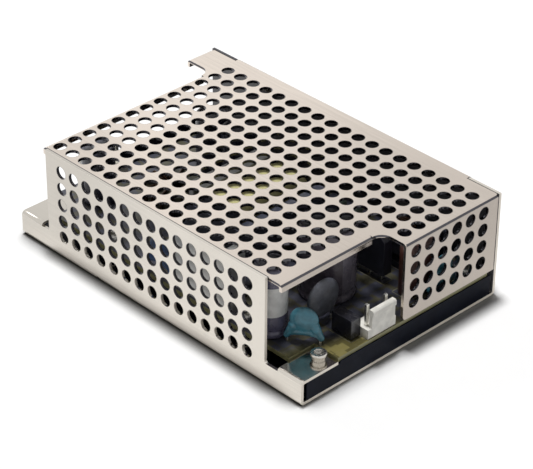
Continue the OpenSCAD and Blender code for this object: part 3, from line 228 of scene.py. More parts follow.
class Effects:
    """Shader groups that more than one finish uses, each made once."""

    def _new(
        self, name: str, numbers: Sequence[str], outputs: Sequence[str], vectors: Sequence[str] = ()
    ) -> tuple[Graph, Mapping[str, Socket], Node]:
        """Makes an empty group.

        Args:
            name: Group name.
            numbers: Names of the value inputs.
            outputs: Names of the value outputs.
            vectors: Names of the vector inputs.

        Returns:
            The group's graph, the sockets of its inputs and its output node.
        """
        tree = bpy.data.node_groups.new(name, "ShaderNodeTree")
        sockets = (("INPUT", "Float", numbers), ("INPUT", "Vector", vectors), ("OUTPUT", "Float", outputs))
        for way, kind, labels in sockets:
            for label in labels:
                tree.interface.new_socket(label, in_out=way, socket_type="NodeSocket" + kind)
        return Graph(tree), tree.nodes.new("NodeGroupInput").outputs, tree.nodes.new("NodeGroupOutput")

    @cached_property
    def edge_wear_and_rim_shade(self) -> Tree:
        """Mask of the outer edges, for worn edges and for painted dark hole rims: Width and Strength in,
        Mask out.

        Returns:
            The group's tree.
        """
        graph, into, out = self._new("edge_wear_and_rim_shade", ["Width", "Strength"], ["Mask"])
        bevel = graph.fill(graph.add("Bevel", samples=4), Radius=into["Width"])
        normal = graph.add("NewGeometry").outputs["Normal"]
        turned = graph.math("SUBTRACT", 1.0, graph.dot(bevel.outputs["Normal"], normal))
        graph.fill(out, Mask=graph.math("MULTIPLY", turned, into["Strength"], clamp=True))
        return graph.tree

    @cached_property
    def grain(self) -> Tree:
        """Drawn-out grain: Stretch, the scale along each axis, in; Streaks and Clouds out.

        Returns:
            The group's tree.
        """
        graph, into, out = self._new("grain", [], ["Streaks", "Clouds"], ["Stretch"])
        drawn = graph.vector("MULTIPLY", graph.coords(), into["Stretch"])
        streaks = graph.noise(drawn, scale=1.0, detail=4.0)
        graph.fill(out, Streaks=streaks, Clouds=graph.noise(graph.coords(), scale=38.0, detail=3.0))
        return graph.tree

    @cached_property
    def speckle(self) -> Tree:
        """Even fine texture: Scale in, Fine and Coarse out.

        Returns:
            The group's tree.
        """
        graph, into, out = self._new("speckle", ["Scale"], ["Fine", "Coarse"])
        wide = graph.math("MULTIPLY", into["Scale"], 0.11)
        fine = graph.noise(graph.coords(), into["Scale"], detail=3.0)
        graph.fill(out, Fine=fine, Coarse=graph.noise(graph.coords(), wide, detail=3.0))
        return graph.tree

    @cached_property
    def dust(self) -> Tree:
        """Dust on faces that look up: Amount in, Mask out.

        Returns:
            The group's tree.
        """
        graph, into, out = self._new("dust", ["Amount"], ["Mask"])
        up = graph.ramp(graph.split(graph.add("NewGeometry").outputs["Normal"])[2], 0.2, 0.95)
        patch = graph.ramp(graph.noise(graph.coords(), scale=700.0, detail=5.0), 0.42, 0.72)
        settled = graph.math("MULTIPLY", up, patch)
        graph.fill(out, Mask=graph.math("MULTIPLY", settled, into["Amount"], clamp=True))
        return graph.tree

    @cached_property
    def painted_shade_group(self) -> Tree:
        """Painted shade on a stretch of sheet: Middle, Reach, Across and Rim in, Mask out.

        Faces that look along Across stay unpainted, apart from the rims of holes, which are painted dark.
        With no Across every face of the stretch is painted dark.

        Returns:
            The group's tree.
        """
        graph, into, out = self._new("painted_shade_group", ["Rim"], ["Mask"], ["Middle", "Reach", "Across"])
        away = graph.vector("ABSOLUTE", graph.vector("SUBTRACT", graph.coords(), into["Middle"]))
        over = graph.split(graph.vector("SUBTRACT", away, into["Reach"]))
        most = graph.math("MAXIMUM", graph.math("MAXIMUM", over[0], over[1]), over[2])
        along = graph.math("ABSOLUTE", graph.dot(graph.coords("Normal"), into["Across"]))
        # painted shade: side faces of the sheet, and the hole rims where Rim is fed
        dark = graph.math("MAXIMUM", graph.math("LESS_THAN", along, 0.5), into["Rim"])
        graph.fill(out, Mask=graph.math("MULTIPLY", graph.math("LESS_THAN", most, 0.0), dark))
        return graph.tree


EFFECTS = Effects()


@dataclass(frozen=True)
class Finish:
    """A surface finish: a plain shader that each kind of finish adds its own detail to.

    Attributes:
        name: Material name.
        colour: Base colour, linear.
        roughness: Base roughness.
        metallic: 1 for bare metal and 0 for other surfaces.
    """

    name: str
    colour: Colour
    roughness: float = 0.5
    metallic: float = 0.0

    def material(self) -> Material:
        """Finds the finish's material, which is made on the first call.

        Returns:
            The material.
        """
        label = "dressed_" + self.name
        made = bpy.data.materials.get(label)
        if made is None:
            made = bpy.data.materials.new(label)
            graph = Surface(made)
            graph.shade(Base_Color=self.colour, Roughness=self.roughness, Metallic=self.metallic)
            self.detail(graph)
        return made

    def detail(self, graph: Surface) -> None:
        """Adds the finish's own detail to the material's graph; a plain finish has none."""

    def tone(self, share: float, lift: float = 0.0) -> Colour:
        """Returns the base colour times a share, plus a lift, held to 1."""
        return tuple(min(1.0, c * share + lift) for c in self.colour)


@dataclass(frozen=True)
class PaintedShade:
    """A stretch of sheet with painted shade: hole walls and rims, folds, seams and cut edges painted dark.

    Attributes:
        low: Lowest corner of the stretch.
        high: Highest corner of the stretch.
        across: Axis that the sheet lies across; without one every face of the stretch is painted dark.
        rims: Whether the rims of the holes are painted dark too.
    """

    low: Place
    high: Place
    across: Axis = Axis.NONE
    rims: bool = False

    def mask(self, graph: Graph, rim: Socket) -> Socket:
        """Marks the faces that are painted dark as shade.

        Args:
            graph: The material's graph.
            rim: Mask of the sheet's edges.

        Returns:
            The mask.
        """
        middle = tuple((a + b) / 2 for a, b in zip(self.low, self.high))
        reach = tuple((b - a) / 2 for a, b in zip(self.low, self.high))
        rims = rim if self.rims else 0.0
        dark = graph.place(EFFECTS.painted_shade_group, Middle=middle, Reach=reach, Across=self.across.value, Rim=rims)
        return dark["Mask"]


@dataclass(frozen=True)
class PlatedSheet(Finish):
    """Bright plated sheet steel with rolling grain, faint clouds, bright cut edges and painted shade.

    Attributes:
        edge: Colour of worn and cut edges.
        edge_width: Reach of the worn edges.
        wear: How strongly the edges show.
        across: Tone of the faces that look along Y: painted shade that darkens the front flange.
        cut: Roughness that those faces have on top of the sheet's own.
        inner: Colour of the inner face of the far wall, dull and painted dark as shade of the closed
            interior.
        inner_from: Where that wall starts along X.
        shade: Colour of the painted shade on the dark stretches.
        painted_shades: Stretches with painted shade: walls and rims of the holes, seams and cut edges, and
            dark lines along folds as painted reflection.
        rim: Reach of the painted dark rims round the holes.
        front_shade: Painted shade tone at the front, against the rear, standing in for a dimmer reflection
            there.
        front_way: Direction that the painted shade at the front sets in along.
        front_range: Where it starts and where it is full along that direction.
        corner: Painted shade tone at the near rear corner.
        corner_way: Direction that the painted shade at the corner sets in along.
        corner_range: Where it starts and where it is full along that direction.
        streak: Spread of the roughness over the grain.
    """

    edge: Colour = (0.80, 0.77, 0.72)
    edge_width: float = 0.00018
    wear: float = 0.8
    across: float = 0.72
    cut: float = 0.0
    inner: Colour = (0.16, 0.157, 0.17)
    inner_from: float = 0.038
    shade: Colour = (0.085, 0.083, 0.092)
    painted_shades: tuple[PaintedShade, ...] = ()
    rim: float = 0.00030
    front_shade: float = 1.0
    front_way: Place = (0.4, -1.0, 0.0)
    front_range: Point = (-0.025, 0.065)
    corner: float = 0.87
    corner_way: Place = (-1.0, 0.6, 0.0)
    corner_range: Point = (0.035, 0.066)
    streak: float = 0.10

    def detail(self, graph: Surface) -> None:
        """Adds grain, clouds, edge wear and the painted shade of the sheet.

        Args:
            graph: The material's graph.
        """
        grain = graph.place(EFFECTS.grain, Stretch=Axis.Y.stretch(fine=1500.0, along=45.0))
        light = self.tone(1.03)
        clouds = graph.mix(graph.ramp(grain["Clouds"], 0.3, 0.7), self.tone(0.94), light)
        toned = graph.mix(graph.ramp(grain["Streaks"], 0.35, 0.75), clouds, light)
        # painted shade: the sheet darkens towards the front
        front = graph.ramp(graph.dot(graph.coords(), self.front_way), *self.front_range)
        # painted shade: the sheet darkens at the near rear corner
        corner = graph.ramp(graph.dot(graph.coords(), self.corner_way), *self.corner_range)
        # painted shade on faces that look along Y; the same mask also roughens the cut edges
        faced = graph.math("ABSOLUTE", graph.dot(graph.coords("Normal"), Axis.Y.value))
        across = graph.ramp(faced, 0.6, 0.95)
        for mask, share in ((front, self.front_shade), (corner, self.corner), (across, self.across)):
            toned = graph.mix(mask, toned, (share,) * 3, "MULTIPLY")
        wear = graph.place(EFFECTS.edge_wear_and_rim_shade, Width=self.edge_width, Strength=self.wear)["Mask"]
        worn = graph.mix(wear, toned, self.edge)
        # painted shade: the far wall's inner face is dark and not metallic
        inside = self._inside(graph)
        # painted shade: hole rims and the dark stretches take the shade colour
        rim = graph.ramp(graph.place(EFFECTS.edge_wear_and_rim_shade, Width=self.rim, Strength=8.0)["Mask"], 0.06, 0.30)
        dark: object = 0.0
        for shade in self.painted_shades:
            dark = graph.math("MAXIMUM", dark, shade.mask(graph, rim))
        base = graph.mix(dark, graph.mix(inside, worn, self.inner), self.shade)
        spread = graph.math("MULTIPLY", grain["Streaks"], self.streak)
        sawn = graph.math("ADD", spread, graph.math("MULTIPLY", across, self.cut))
        rough = graph.math("ADD", sawn, self.roughness - self.streak / 2)
        graph.shade(Base_Color=base, Metallic=graph.math("SUBTRACT", 1.0, inside), Roughness=rough)
        graph.bump(grain["Streaks"], depth=0.000004, strength=0.25)

    def _inside(self, graph: Graph) -> Socket:
        """Marks the faces at the far side that look inwards, which get the painted dark inner colour.

        Args:
            graph: The material's graph.

        Returns:
            The mask.
        """
        inwards = graph.math("LESS_THAN", graph.split(graph.coords("Normal"))[0], -0.9)
        far = graph.math("GREATER_THAN", graph.split(graph.coords())[0], self.inner_from)
        return graph.math("MULTIPLY", inwards, far)


@dataclass(frozen=True)
class DrawnMetal(Finish):
    """Bare or plated small metal with fine drawing lines."""

    metallic: float = 1.0

    def detail(self, graph: Surface) -> None:
        """Adds drawing lines and tarnish.

        Args:
            graph: The material's graph.
        """
        grain = graph.place(EFFECTS.grain, Stretch=Axis.Z.stretch(fine=2600.0, along=90.0))
        tarnish = graph.ramp(grain["Clouds"], 0.35, 0.8)
        graph.shade(Base_Color=graph.mix(tarnish, self.colour, self.tone(0.78)))
        graph.roughen(grain["Streaks"], spread=0.22, least=self.roughness - 0.1)
        graph.bump(grain["Streaks"], depth=0.00001, strength=0.3)


@dataclass(frozen=True)
class TappedMetal(DrawnMetal):
    """Drawn metal with a thread cut into an upright bore.

    Attributes:
        axis: Place of the bore's axis.
        bore: Radius of the bore.
        fade: How far past the bore the thread fades out.
        pitch: Pitch of the thread.
    """

    axis: Point = (-0.031, -0.059)
    bore: float = 0.0015
    fade: float = 0.00006
    pitch: float = 0.0005

    def detail(self, graph: Surface) -> None:
        """Adds the tarnish, and the thread inside the bore.

        Args:
            graph: The material's graph.
        """
        super().detail(graph)
        flat = graph.vector("MULTIPLY", graph.coords(), (1.0, 1.0, 0.0))
        reach = graph.vector("DISTANCE", flat, (*self.axis, 0.0), "Value")
        inside = graph.math("SUBTRACT", 1.0, graph.ramp(reach, self.bore, self.bore + self.fade))
        thread = graph.math("MULTIPLY", graph.wave("Z", self.pitch), inside)
        graph.bump(thread, depth=0.00022, strength=0.9)


@dataclass(frozen=True)
class Moulding(Finish):
    """Moulded or pressed plastic with a fine eroded texture and dust.

    Attributes:
        texture: Depth of the eroded texture.
        dust: Amount of settled dust.
        shine: Strength of the surface reflection.
    """

    texture: float = 0.00002
    dust: float = 0.12
    shine: float = 0.5

    def detail(self, graph: Surface) -> None:
        """Adds texture, slight tone changes and dust.

        Args:
            graph: The material's graph.
        """
        speckle = graph.place(EFFECTS.speckle, Scale=3200.0)
        toned = graph.mix(graph.ramp(speckle["Coarse"], 0.3, 0.7), self.tone(0.86), self.tone(1.08, 0.001))
        graph.settle(toned, self.dust, dust=(0.42, 0.40, 0.37))
        graph.shade(Specular_IOR_Level=self.shine)
        graph.roughen(speckle["Coarse"], spread=0.16, least=self.roughness - 0.08)
        graph.bump(speckle["Fine"], self.texture, strength=0.4)


@dataclass(frozen=True)
class DippedCoating(Finish):
    """Thick dipped coating: uneven, half glossy, with small pits.

    Attributes:
        unevenness: Depth of the uneven skin.
        coat: Share of clear coat.
    """

    unevenness: float = 0.00012
    coat: float = 0.25

    def detail(self, graph: Surface) -> None:
        """Adds the uneven skin and its change of tone.

        Args:
            graph: The material's graph.
        """
        speckle = graph.place(EFFECTS.speckle, Scale=4200.0)
        toned = graph.mix(graph.ramp(speckle["Coarse"], 0.25, 0.75), self.tone(0.72), self.tone(1.25, 0.01))
        graph.settle(toned, amount=0.10, dust=(0.45, 0.43, 0.40))
        graph.shade(Coat_Weight=self.coat, Coat_Roughness=0.18)
        graph.roughen(speckle["Coarse"], spread=0.25, least=self.roughness - 0.12)
        graph.bump(speckle["Coarse"], self.unevenness, strength=0.5)


@dataclass(frozen=True)
class Laminate(Finish):
    """Circuit board laminate: pale along the front edge, and behind it conductor areas painted dark as shade
    under the cover.

    Attributes:
        mask: Colour over the conductor areas, darkened as painted shade.
        gap: Colour of the lines between them, darkened as painted shade.
        rim: Colour of the board's cut edge.
        slant: Direction across the edge of the pale strip, where the painted shade sets in.
        strip: Where the pale strip starts to fade into the painted shade and where it ends along that
            direction.
    """

    mask: Colour = (0.044, 0.046, 0.064)
    gap: Colour = (0.060, 0.056, 0.036)
    rim: Colour = (0.22, 0.21, 0.095)
    slant: Place = (0.35, 1.0, 0.0)
    strip: Point = (-0.0670, -0.0610)

    def detail(self, graph: Surface) -> None:
        """Adds the conductor areas with their painted shade, their edges, the cut edge and dust.

        Args:
            graph: The material's graph.
        """
        cells = graph.add("TexVoronoi", feature="F1", distance="CHEBYCHEV")
        graph.fill(cells, Vector=graph.coords(), Scale=260.0, Randomness=0.7)
        lines = graph.ramp(cells.outputs["Distance"], 0.40, 0.47)
        pale = graph.mix(lines, self.colour, self.tone(0.45))
        shaded_conductors = graph.mix(lines, self.mask, self.gap)
        # painted shade: the board is dark behind the pale front strip
        behind = graph.ramp(graph.dot(graph.coords(), self.slant), *self.strip)
        face = graph.ramp(graph.math("ABSOLUTE", graph.split(graph.coords("Normal"))[2]), 0.3, 0.6)
        edged = graph.mix(face, self.rim, graph.mix(behind, pale, shaded_conductors))
        graph.settle(edged, amount=0.03, dust=(0.5, 0.48, 0.42))
        graph.bump(lines, depth=0.00003, strength=0.4)


@dataclass(frozen=True)
class WoundTape(Finish):
    """Film tape in overlapping turns, half see-through over the copper below.

    Attributes:
        under: Colour of what shows through.
        shown: How much of it shows.
        turn: Width of a turn of tape.
        wire: Width of a turn of wire.
    """

    under: Colour = (0.34, 0.26, 0.09)
    shown: float = 0.16
    turn: float = 0.006
    wire: float = 0.0006

    def detail(self, graph: Surface) -> None:
        """Adds the tape's overlaps and the wire that shows through.

        Args:
            graph: The material's graph.
        """
        bands = graph.wave("X", self.turn, "SAW", distortion=0.4)
        wire = graph.math("MULTIPLY", graph.ramp(graph.wave("X", self.wire), 0.3, 0.7), self.shown)
        base = graph.mix(wire, self.colour, self.under)
        graph.shade(Base_Color=graph.mix(graph.ramp(bands, 0.86, 0.97), base, self.tone(1.12)))
        graph.bump(bands, depth=0.00006, strength=0.4)


class Finishes:
    """The finishes of this supply."""

    # Stretches of painted shade: hole walls and rims, seams and cut edges painted dark, and dark fold lines
    # as painted reflection
    near_wall = PaintedShade((-0.0435, -0.0465, 0.0100), (-0.0415, 0.0480, 0.0353), Axis.X, rims=True)
    rear_edge = PaintedShade((0.0405, 0.0524, 0.0364), (0.0422, 0.0645, 0.0375))
    top = PaintedShade((-0.0418, -0.0645, 0.0362), (0.0435, 0.0645, 0.0375), Axis.Z)
    top_holes = PaintedShade((-0.0405, -0.0518, 0.0359), (0.0400, 0.0508, 0.0375), Axis.Z, rims=True)
    front_holes = PaintedShade((0.0030, -0.0615, 0.0359), (0.0400, -0.0518, 0.0375), Axis.Z, rims=True)
    flange = PaintedShade((0.0020, -0.0645, 0.0110), (0.0410, -0.0628, 0.0352), Axis.Y, rims=True)
    near_seam = PaintedShade((-0.0419, -0.0486, 0.0366), (-0.0413, 0.0513, 0.0375))
    flange_fold = PaintedShade((0.0, -0.0641, 0.0361), (0.0435, -0.0629, 0.0367))
    lip_fold = PaintedShade((-0.0417, -0.0541, 0.0361), (-0.0044, -0.0530, 0.0367))
    chassis = PlatedSheet(
        "chassis_plated_steel", (0.65, 0.61, 0.55), 0.16, 1.0, across=1.0, cut=0.5,
        painted_shades=(near_wall, rear_edge),
    )
    # The cover's pinkish tint is painted reflection of a pinkish backdrop, on top of the plating's own
    # colour
    cover = PlatedSheet(
        "cover_plated_steel", (0.78, 0.695, 0.615), 0.18, 1.0, front_shade=0.74,
        painted_shades=(top, top_holes, front_holes, flange, near_seam, flange_fold, lip_fold),
    )
    screw = DrawnMetal("zinc_screw", (0.66, 0.65, 0.61), 0.30)
    standoff = DrawnMetal("nickel_standoff", (0.70, 0.67, 0.62), 0.24)
    post = TappedMetal("nickel_post", (0.60, 0.575, 0.53), 0.24)
    tin = DrawnMetal("bright_tin", (0.80, 0.79, 0.75), 0.26)
    film = Moulding("insulation_film", (0.006, 0.008, 0.016), 0.34, texture=0.000006, dust=0.03, shine=0.04)
    laminate = Laminate("board_laminate", (0.19, 0.165, 0.058), 0.42)
    gloss_black = Moulding("gloss_black_moulding", (0.012, 0.012, 0.018), 0.25, texture=0.000006, dust=0.04)
    nylon = Moulding("header_nylon", (0.80, 0.78, 0.72), 0.42, dust=0.04)
    black = Moulding("black_moulding", (0.028, 0.030, 0.046), 0.48)
    teal = DippedCoating("teal_dip", (0.045, 0.20, 0.27), 0.40)
    blue = DippedCoating("blue_dip", (0.03, 0.09, 0.24), 0.40)
    grey = DippedCoating("dark_dip", (0.075, 0.08, 0.10), 0.55)
    # painted shade: the brown coating is darkened for the shade under the cover
    shaded_brown = DippedCoating("shaded_brown_dip", (0.075, 0.024, 0.017), 0.50, coat=0.08)
    ferrite = Moulding("sintered_ferrite", (0.052, 0.056, 0.080), 0.68, texture=0.00004)
    copper = DrawnMetal("enamelled_copper", (0.055, 0.032, 0.022), 0.32)
    tape = WoundTape("winding_tape", (0.58, 0.55, 0.27), 0.36)
    aluminium = DrawnMetal("mill_aluminium", (0.80, 0.80, 0.79), 0.34)
    dull_aluminium = DrawnMetal("dull_aluminium", (0.36, 0.36, 0.36), 0.48)
    ring = Moulding("ring_core_coating", (0.05, 0.05, 0.03), 0.45)
    resistor = Moulding("resistor_coating", (0.16, 0.20, 0.17), 0.55)
    input_sleeve = Moulding("input_can_sleeve", (0.095, 0.09, 0.145), 0.28, texture=0.000008)
    bulk_sleeve = Moulding("bulk_can_sleeve", (0.10, 0.085, 0.112), 0.26, texture=0.000008)
    output_sleeve = Moulding("output_can_sleeve", (0.034, 0.036, 0.060), 0.28, texture=0.000008)
    bulk_stripe = Moulding("bulk_can_stripe", (0.17, 0.155, 0.195), 0.28, texture=0.000006, dust=0.03)
    label = Moulding("plain_white_band", (0.66, 0.66, 0.65), 0.34, texture=0.000006, dust=0.03)
    can_top = Moulding("can_top_disc", (0.036, 0.038, 0.056), 0.40, texture=0.000010)
    solder = DrawnMetal("soldered_joint", (0.66, 0.66, 0.64), 0.22)
    print_white = Moulding("board_print", (0.20, 0.19, 0.13), 0.55, texture=0.000004, dust=0.02)


def dress(finish: Finish, *nodes: str) -> None:
    """Gives nodes of the frame a finish.

    Args:
        finish: Finish to show.
        nodes: Node names.
    """
    for node in nodes:
        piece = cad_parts[node]
        if not piece.material_slots:
            piece.data.materials.append(finish.material())
        for slot in piece.material_slots:
            slot.material = finish.material()
        LOG.info("dressed %s in %s", node, finish.name)


def soften(width: float, *nodes: str, segments: int = 2) -> None:
    """Rounds the sharp edges of nodes with modifiers, leaving their meshes as they are.

    Args:
        width: Width of the rounding.
        nodes: Node names.
        segments: Number of strips in the rounding.
    """
    for node in nodes:
        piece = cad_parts[node]
        piece.modifiers.new("joined", "WELD").merge_threshold = SAME_SPOT
        bevel = piece.modifiers.new("rounded", "BEVEL")
        bevel.width = width
        bevel.segments = segments
        bevel.limit_method = "ANGLE"
        bevel.angle_limit = SHARP_BEND
        bevel.miter_outer = "MITER_ARC"


def show(name: str, data: object) -> Piece:
    """Makes an object and links it to the scene.

    Args:
        name: Object name.
        data: Camera or lamp data, or a mesh, which is freed.

    Returns:
        The object.
    """
    if isinstance(data, Mesh):
        mesh, data = data, bpy.data.meshes.new(name)
        mesh.to_mesh(data)
        mesh.free()
    piece = bpy.data.objects.new(name, data)
    bpy.context.scene.collection.objects.link(piece)
    return piece


def add_piece(
    name: str, mesh: Mesh, finishes: Sequence[Finish], replaces: Iterable[str] = ()
) -> Piece:
    """Makes a piece that rides on the supply.

    Args:
        name: Piece name.
        mesh: Mesh of the piece; it is freed.
        finishes: Finishes in the order of the faces' material numbers.
        replaces: Nodes that the piece stands for.

    Returns:
        The piece.
    """
    bmesh.ops.recalc_face_normals(mesh, faces=mesh.faces[:])
    piece = show(name, mesh)
    for finish in finishes:
        piece.data.materials.append(finish.material())
    piece.data.shade_smooth()
    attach(piece, BODY)
    for node in replaces:
        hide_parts(node)
    LOG.info("made %s with %d faces", name, len(piece.data.polygons))
    return piece


def lathe(
    mesh: Mesh, profile: Sequence[Point], centre: Vector, steps: int, number: Callable[[int, int], int]
) -> None:
    """Turns a profile round an upright axis.

    Args:
        mesh: Mesh that gets the faces.
        profile: Radius and height of each point.
        centre: Foot of the axis.
        steps: Number of steps round the axis.
        number: Material number of a face from its profile stretch and its step.
    """
    turns = [2 * math.pi * k / steps for k in range(steps)]
    rings = []
    for radius, height in profile:
        if radius <= 0.0:
            rings.append([mesh.verts.new(centre + Vector((0.0, 0.0, height)))] * steps)
            continue
        spots = [Vector((radius * math.cos(a), radius * math.sin(a), height)) for a in turns]
        rings.append([mesh.verts.new(centre + spot) for spot in spots])
    for i in range(len(rings) - 1):
        for k in range(steps):
            n = (k + 1) % steps
            corners = list(dict.fromkeys([rings[i][k], rings[i][n], rings[i + 1][n], rings[i + 1][k]]))
            if len(corners) > 2:
                mesh.faces.new(corners).material_index = number(i, k)


@dataclass
class SheetEnclosure:
    """The folded chassis and cover with their screws, post and film.

    Attributes:
        edge: Rounding of cut sheet edges.
        screw_edge: Rounding of screw and post edges.
        film_top: Height of the film where it is turned up at the front.
        crease: Angle above which the film's edges stay sharp, in degrees.
    """

    edge: float = 0.06 * MM
    screw_edge: float = 0.10 * MM
    film_top: float = 8.1 * MM
    crease: float = 30.0

    def build(self) -> None:
        """Makes the film and rounds the edges of the sheets, the screws and the post."""
        self._film()
        soften(self.edge, "chassis", "cover")
        soften(self.screw_edge, "cover_screws", "earth_post", "board_screws", "transistor_screws")

    def dress(self) -> None:
        """Gives the metal its finishes."""
        dress(Finishes.chassis, "chassis")
        dress(Finishes.cover, "cover")
        dress(Finishes.screw, "cover_screws", "board_screws", "transistor_screws")
        dress(Finishes.post, "earth_post")
        dress(Finishes.standoff, "board_standoffs")

    def _film(self) -> None:
        """Makes the film as it lies, with its front edge trimmed below the board's edge."""
        mesh = bmesh.new()
        mesh.from_mesh(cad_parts["insulation_sheet"].data)
        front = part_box("circuit_board")[0].y
        for vert in mesh.verts:
            if vert.co.y < front:
                vert.co.z = min(vert.co.z, self.film_top)
        piece = add_piece("insulation_film", mesh, [Finishes.film], ["insulation_sheet"])
        piece.data.set_sharp_from_angle(angle=math.radians(self.crease))


@dataclass
class Board:
    """The circuit board with its soldered joints and printed outlines.

    Attributes:
        joint_r: Foot radius of a soldered joint.
        joint_h: Height of a soldered joint.
        joint_rise: Shares of a joint's height and radius, from its foot to its tip.
        joint_steps: Steps round a joint.
        lead_foot: Height of the lowest stretch of a lead, which gives its place.
        line: Width of a printed line.
        ink: Thickness of a printed line.
        margin: Printed line to the part inside it and to the board's edge.
        printed: Nodes that have a printed outline.
    """

    joint_r: float = 0.95 * MM
    joint_h: float = 1.0 * MM
    joint_rise: tuple[Point, ...] = ((0.0, 1.0), (0.25, 0.62), (0.6, 0.44), (1.0, 0.40), (1.0, 0.0))
    joint_steps: int = 14
    lead_foot: float = 0.1 * MM
    line: float = 0.25 * MM
    ink: float = 0.02 * MM
    margin: float = 0.45 * MM
    printed: tuple[str, ...] = (
        "fuse", "front_header_housing", "rear_header_housing", "bridge_rectifier", "controller_chip",
        "optocoupler", "line_filter_capacitor", "filter_choke_base",
    )

    def lead_spots(self) -> list[Point]:
        """Finds where the wire leads pass the board, from the leads' own mesh.

        Returns:
            The X and Y of each lead.
        """
        mesh = bmesh.new()
        mesh.from_mesh(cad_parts["wire_leads"].data)
        bmesh.ops.remove_doubles(mesh, verts=mesh.verts[:], dist=SAME_SPOT)
        left = set(mesh.verts)
        spots = []
        while left:
            fresh = {left.pop()}
            island = set(fresh)
            while fresh:
                fresh = {edge.other_vert(vert) for vert in fresh for edge in vert.link_edges} & left
                left -= fresh
                island |= fresh
            low = min(v.co.z for v in island)
            foot = [v.co for v in island if v.co.z < low + self.lead_foot]
            spots.append((sum(p.x for p in foot) / len(foot), sum(p.y for p in foot) / len(foot)))
        mesh.free()
        return sorted(spots)

    def build(self) -> None:
        """Makes the soldered joints and the printed outlines."""
        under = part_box("circuit_board")[0].z
        joints = bmesh.new()
        profile = [(self.joint_r * r, -self.joint_h * t) for t, r in self.joint_rise]
        for x, y in self.lead_spots():
            lathe(joints, profile, Vector((x, y, under)), self.joint_steps, number=lambda i, k: 0)
        add_piece("soldered_joints", joints, [Finishes.solder])
        lines = bmesh.new()
        for node in self.printed:
            self._outline(lines, *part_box(node))
        add_piece("printed_outlines", lines, [Finishes.print_white])

    def _outline(self, mesh: Mesh, low: Vector, high: Vector) -> None:
        """Adds a printed frame round a part.

        Args:
            mesh: Mesh that gets the faces.
            low: Lowest corner of the part.
            high: Highest corner of the part.
        """
        board_low, board_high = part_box("circuit_board")
        gap, line = self.margin, self.line
        x0, x1 = max(low.x - gap, board_low.x + gap), min(high.x + gap, board_high.x - gap)
        y0, y1 = max(low.y - gap, board_low.y + gap), min(high.y + gap, board_high.y - gap)
        strips = [(x0, x1, y0, y0 + line), (x0, x1, y1 - line, y1)]
        strips += [(x0, x0 + line, y0, y1), (x1 - line, x1, y0, y1)]
        for a, b, c, d in strips:
            place = Matrix.Translation(((a + b) / 2, (c + d) / 2, board_high.z + self.ink / 2))
            size = Matrix.Diagonal((b - a, d - c, self.ink, 1.0))
            bmesh.ops.create_cube(mesh, size=1.0, matrix=place @ size)

    def dress(self) -> None:
        """Gives the board and the leads their finishes."""
        dress(Finishes.laminate, "circuit_board")
        dress(Finishes.tin, "wire_leads")


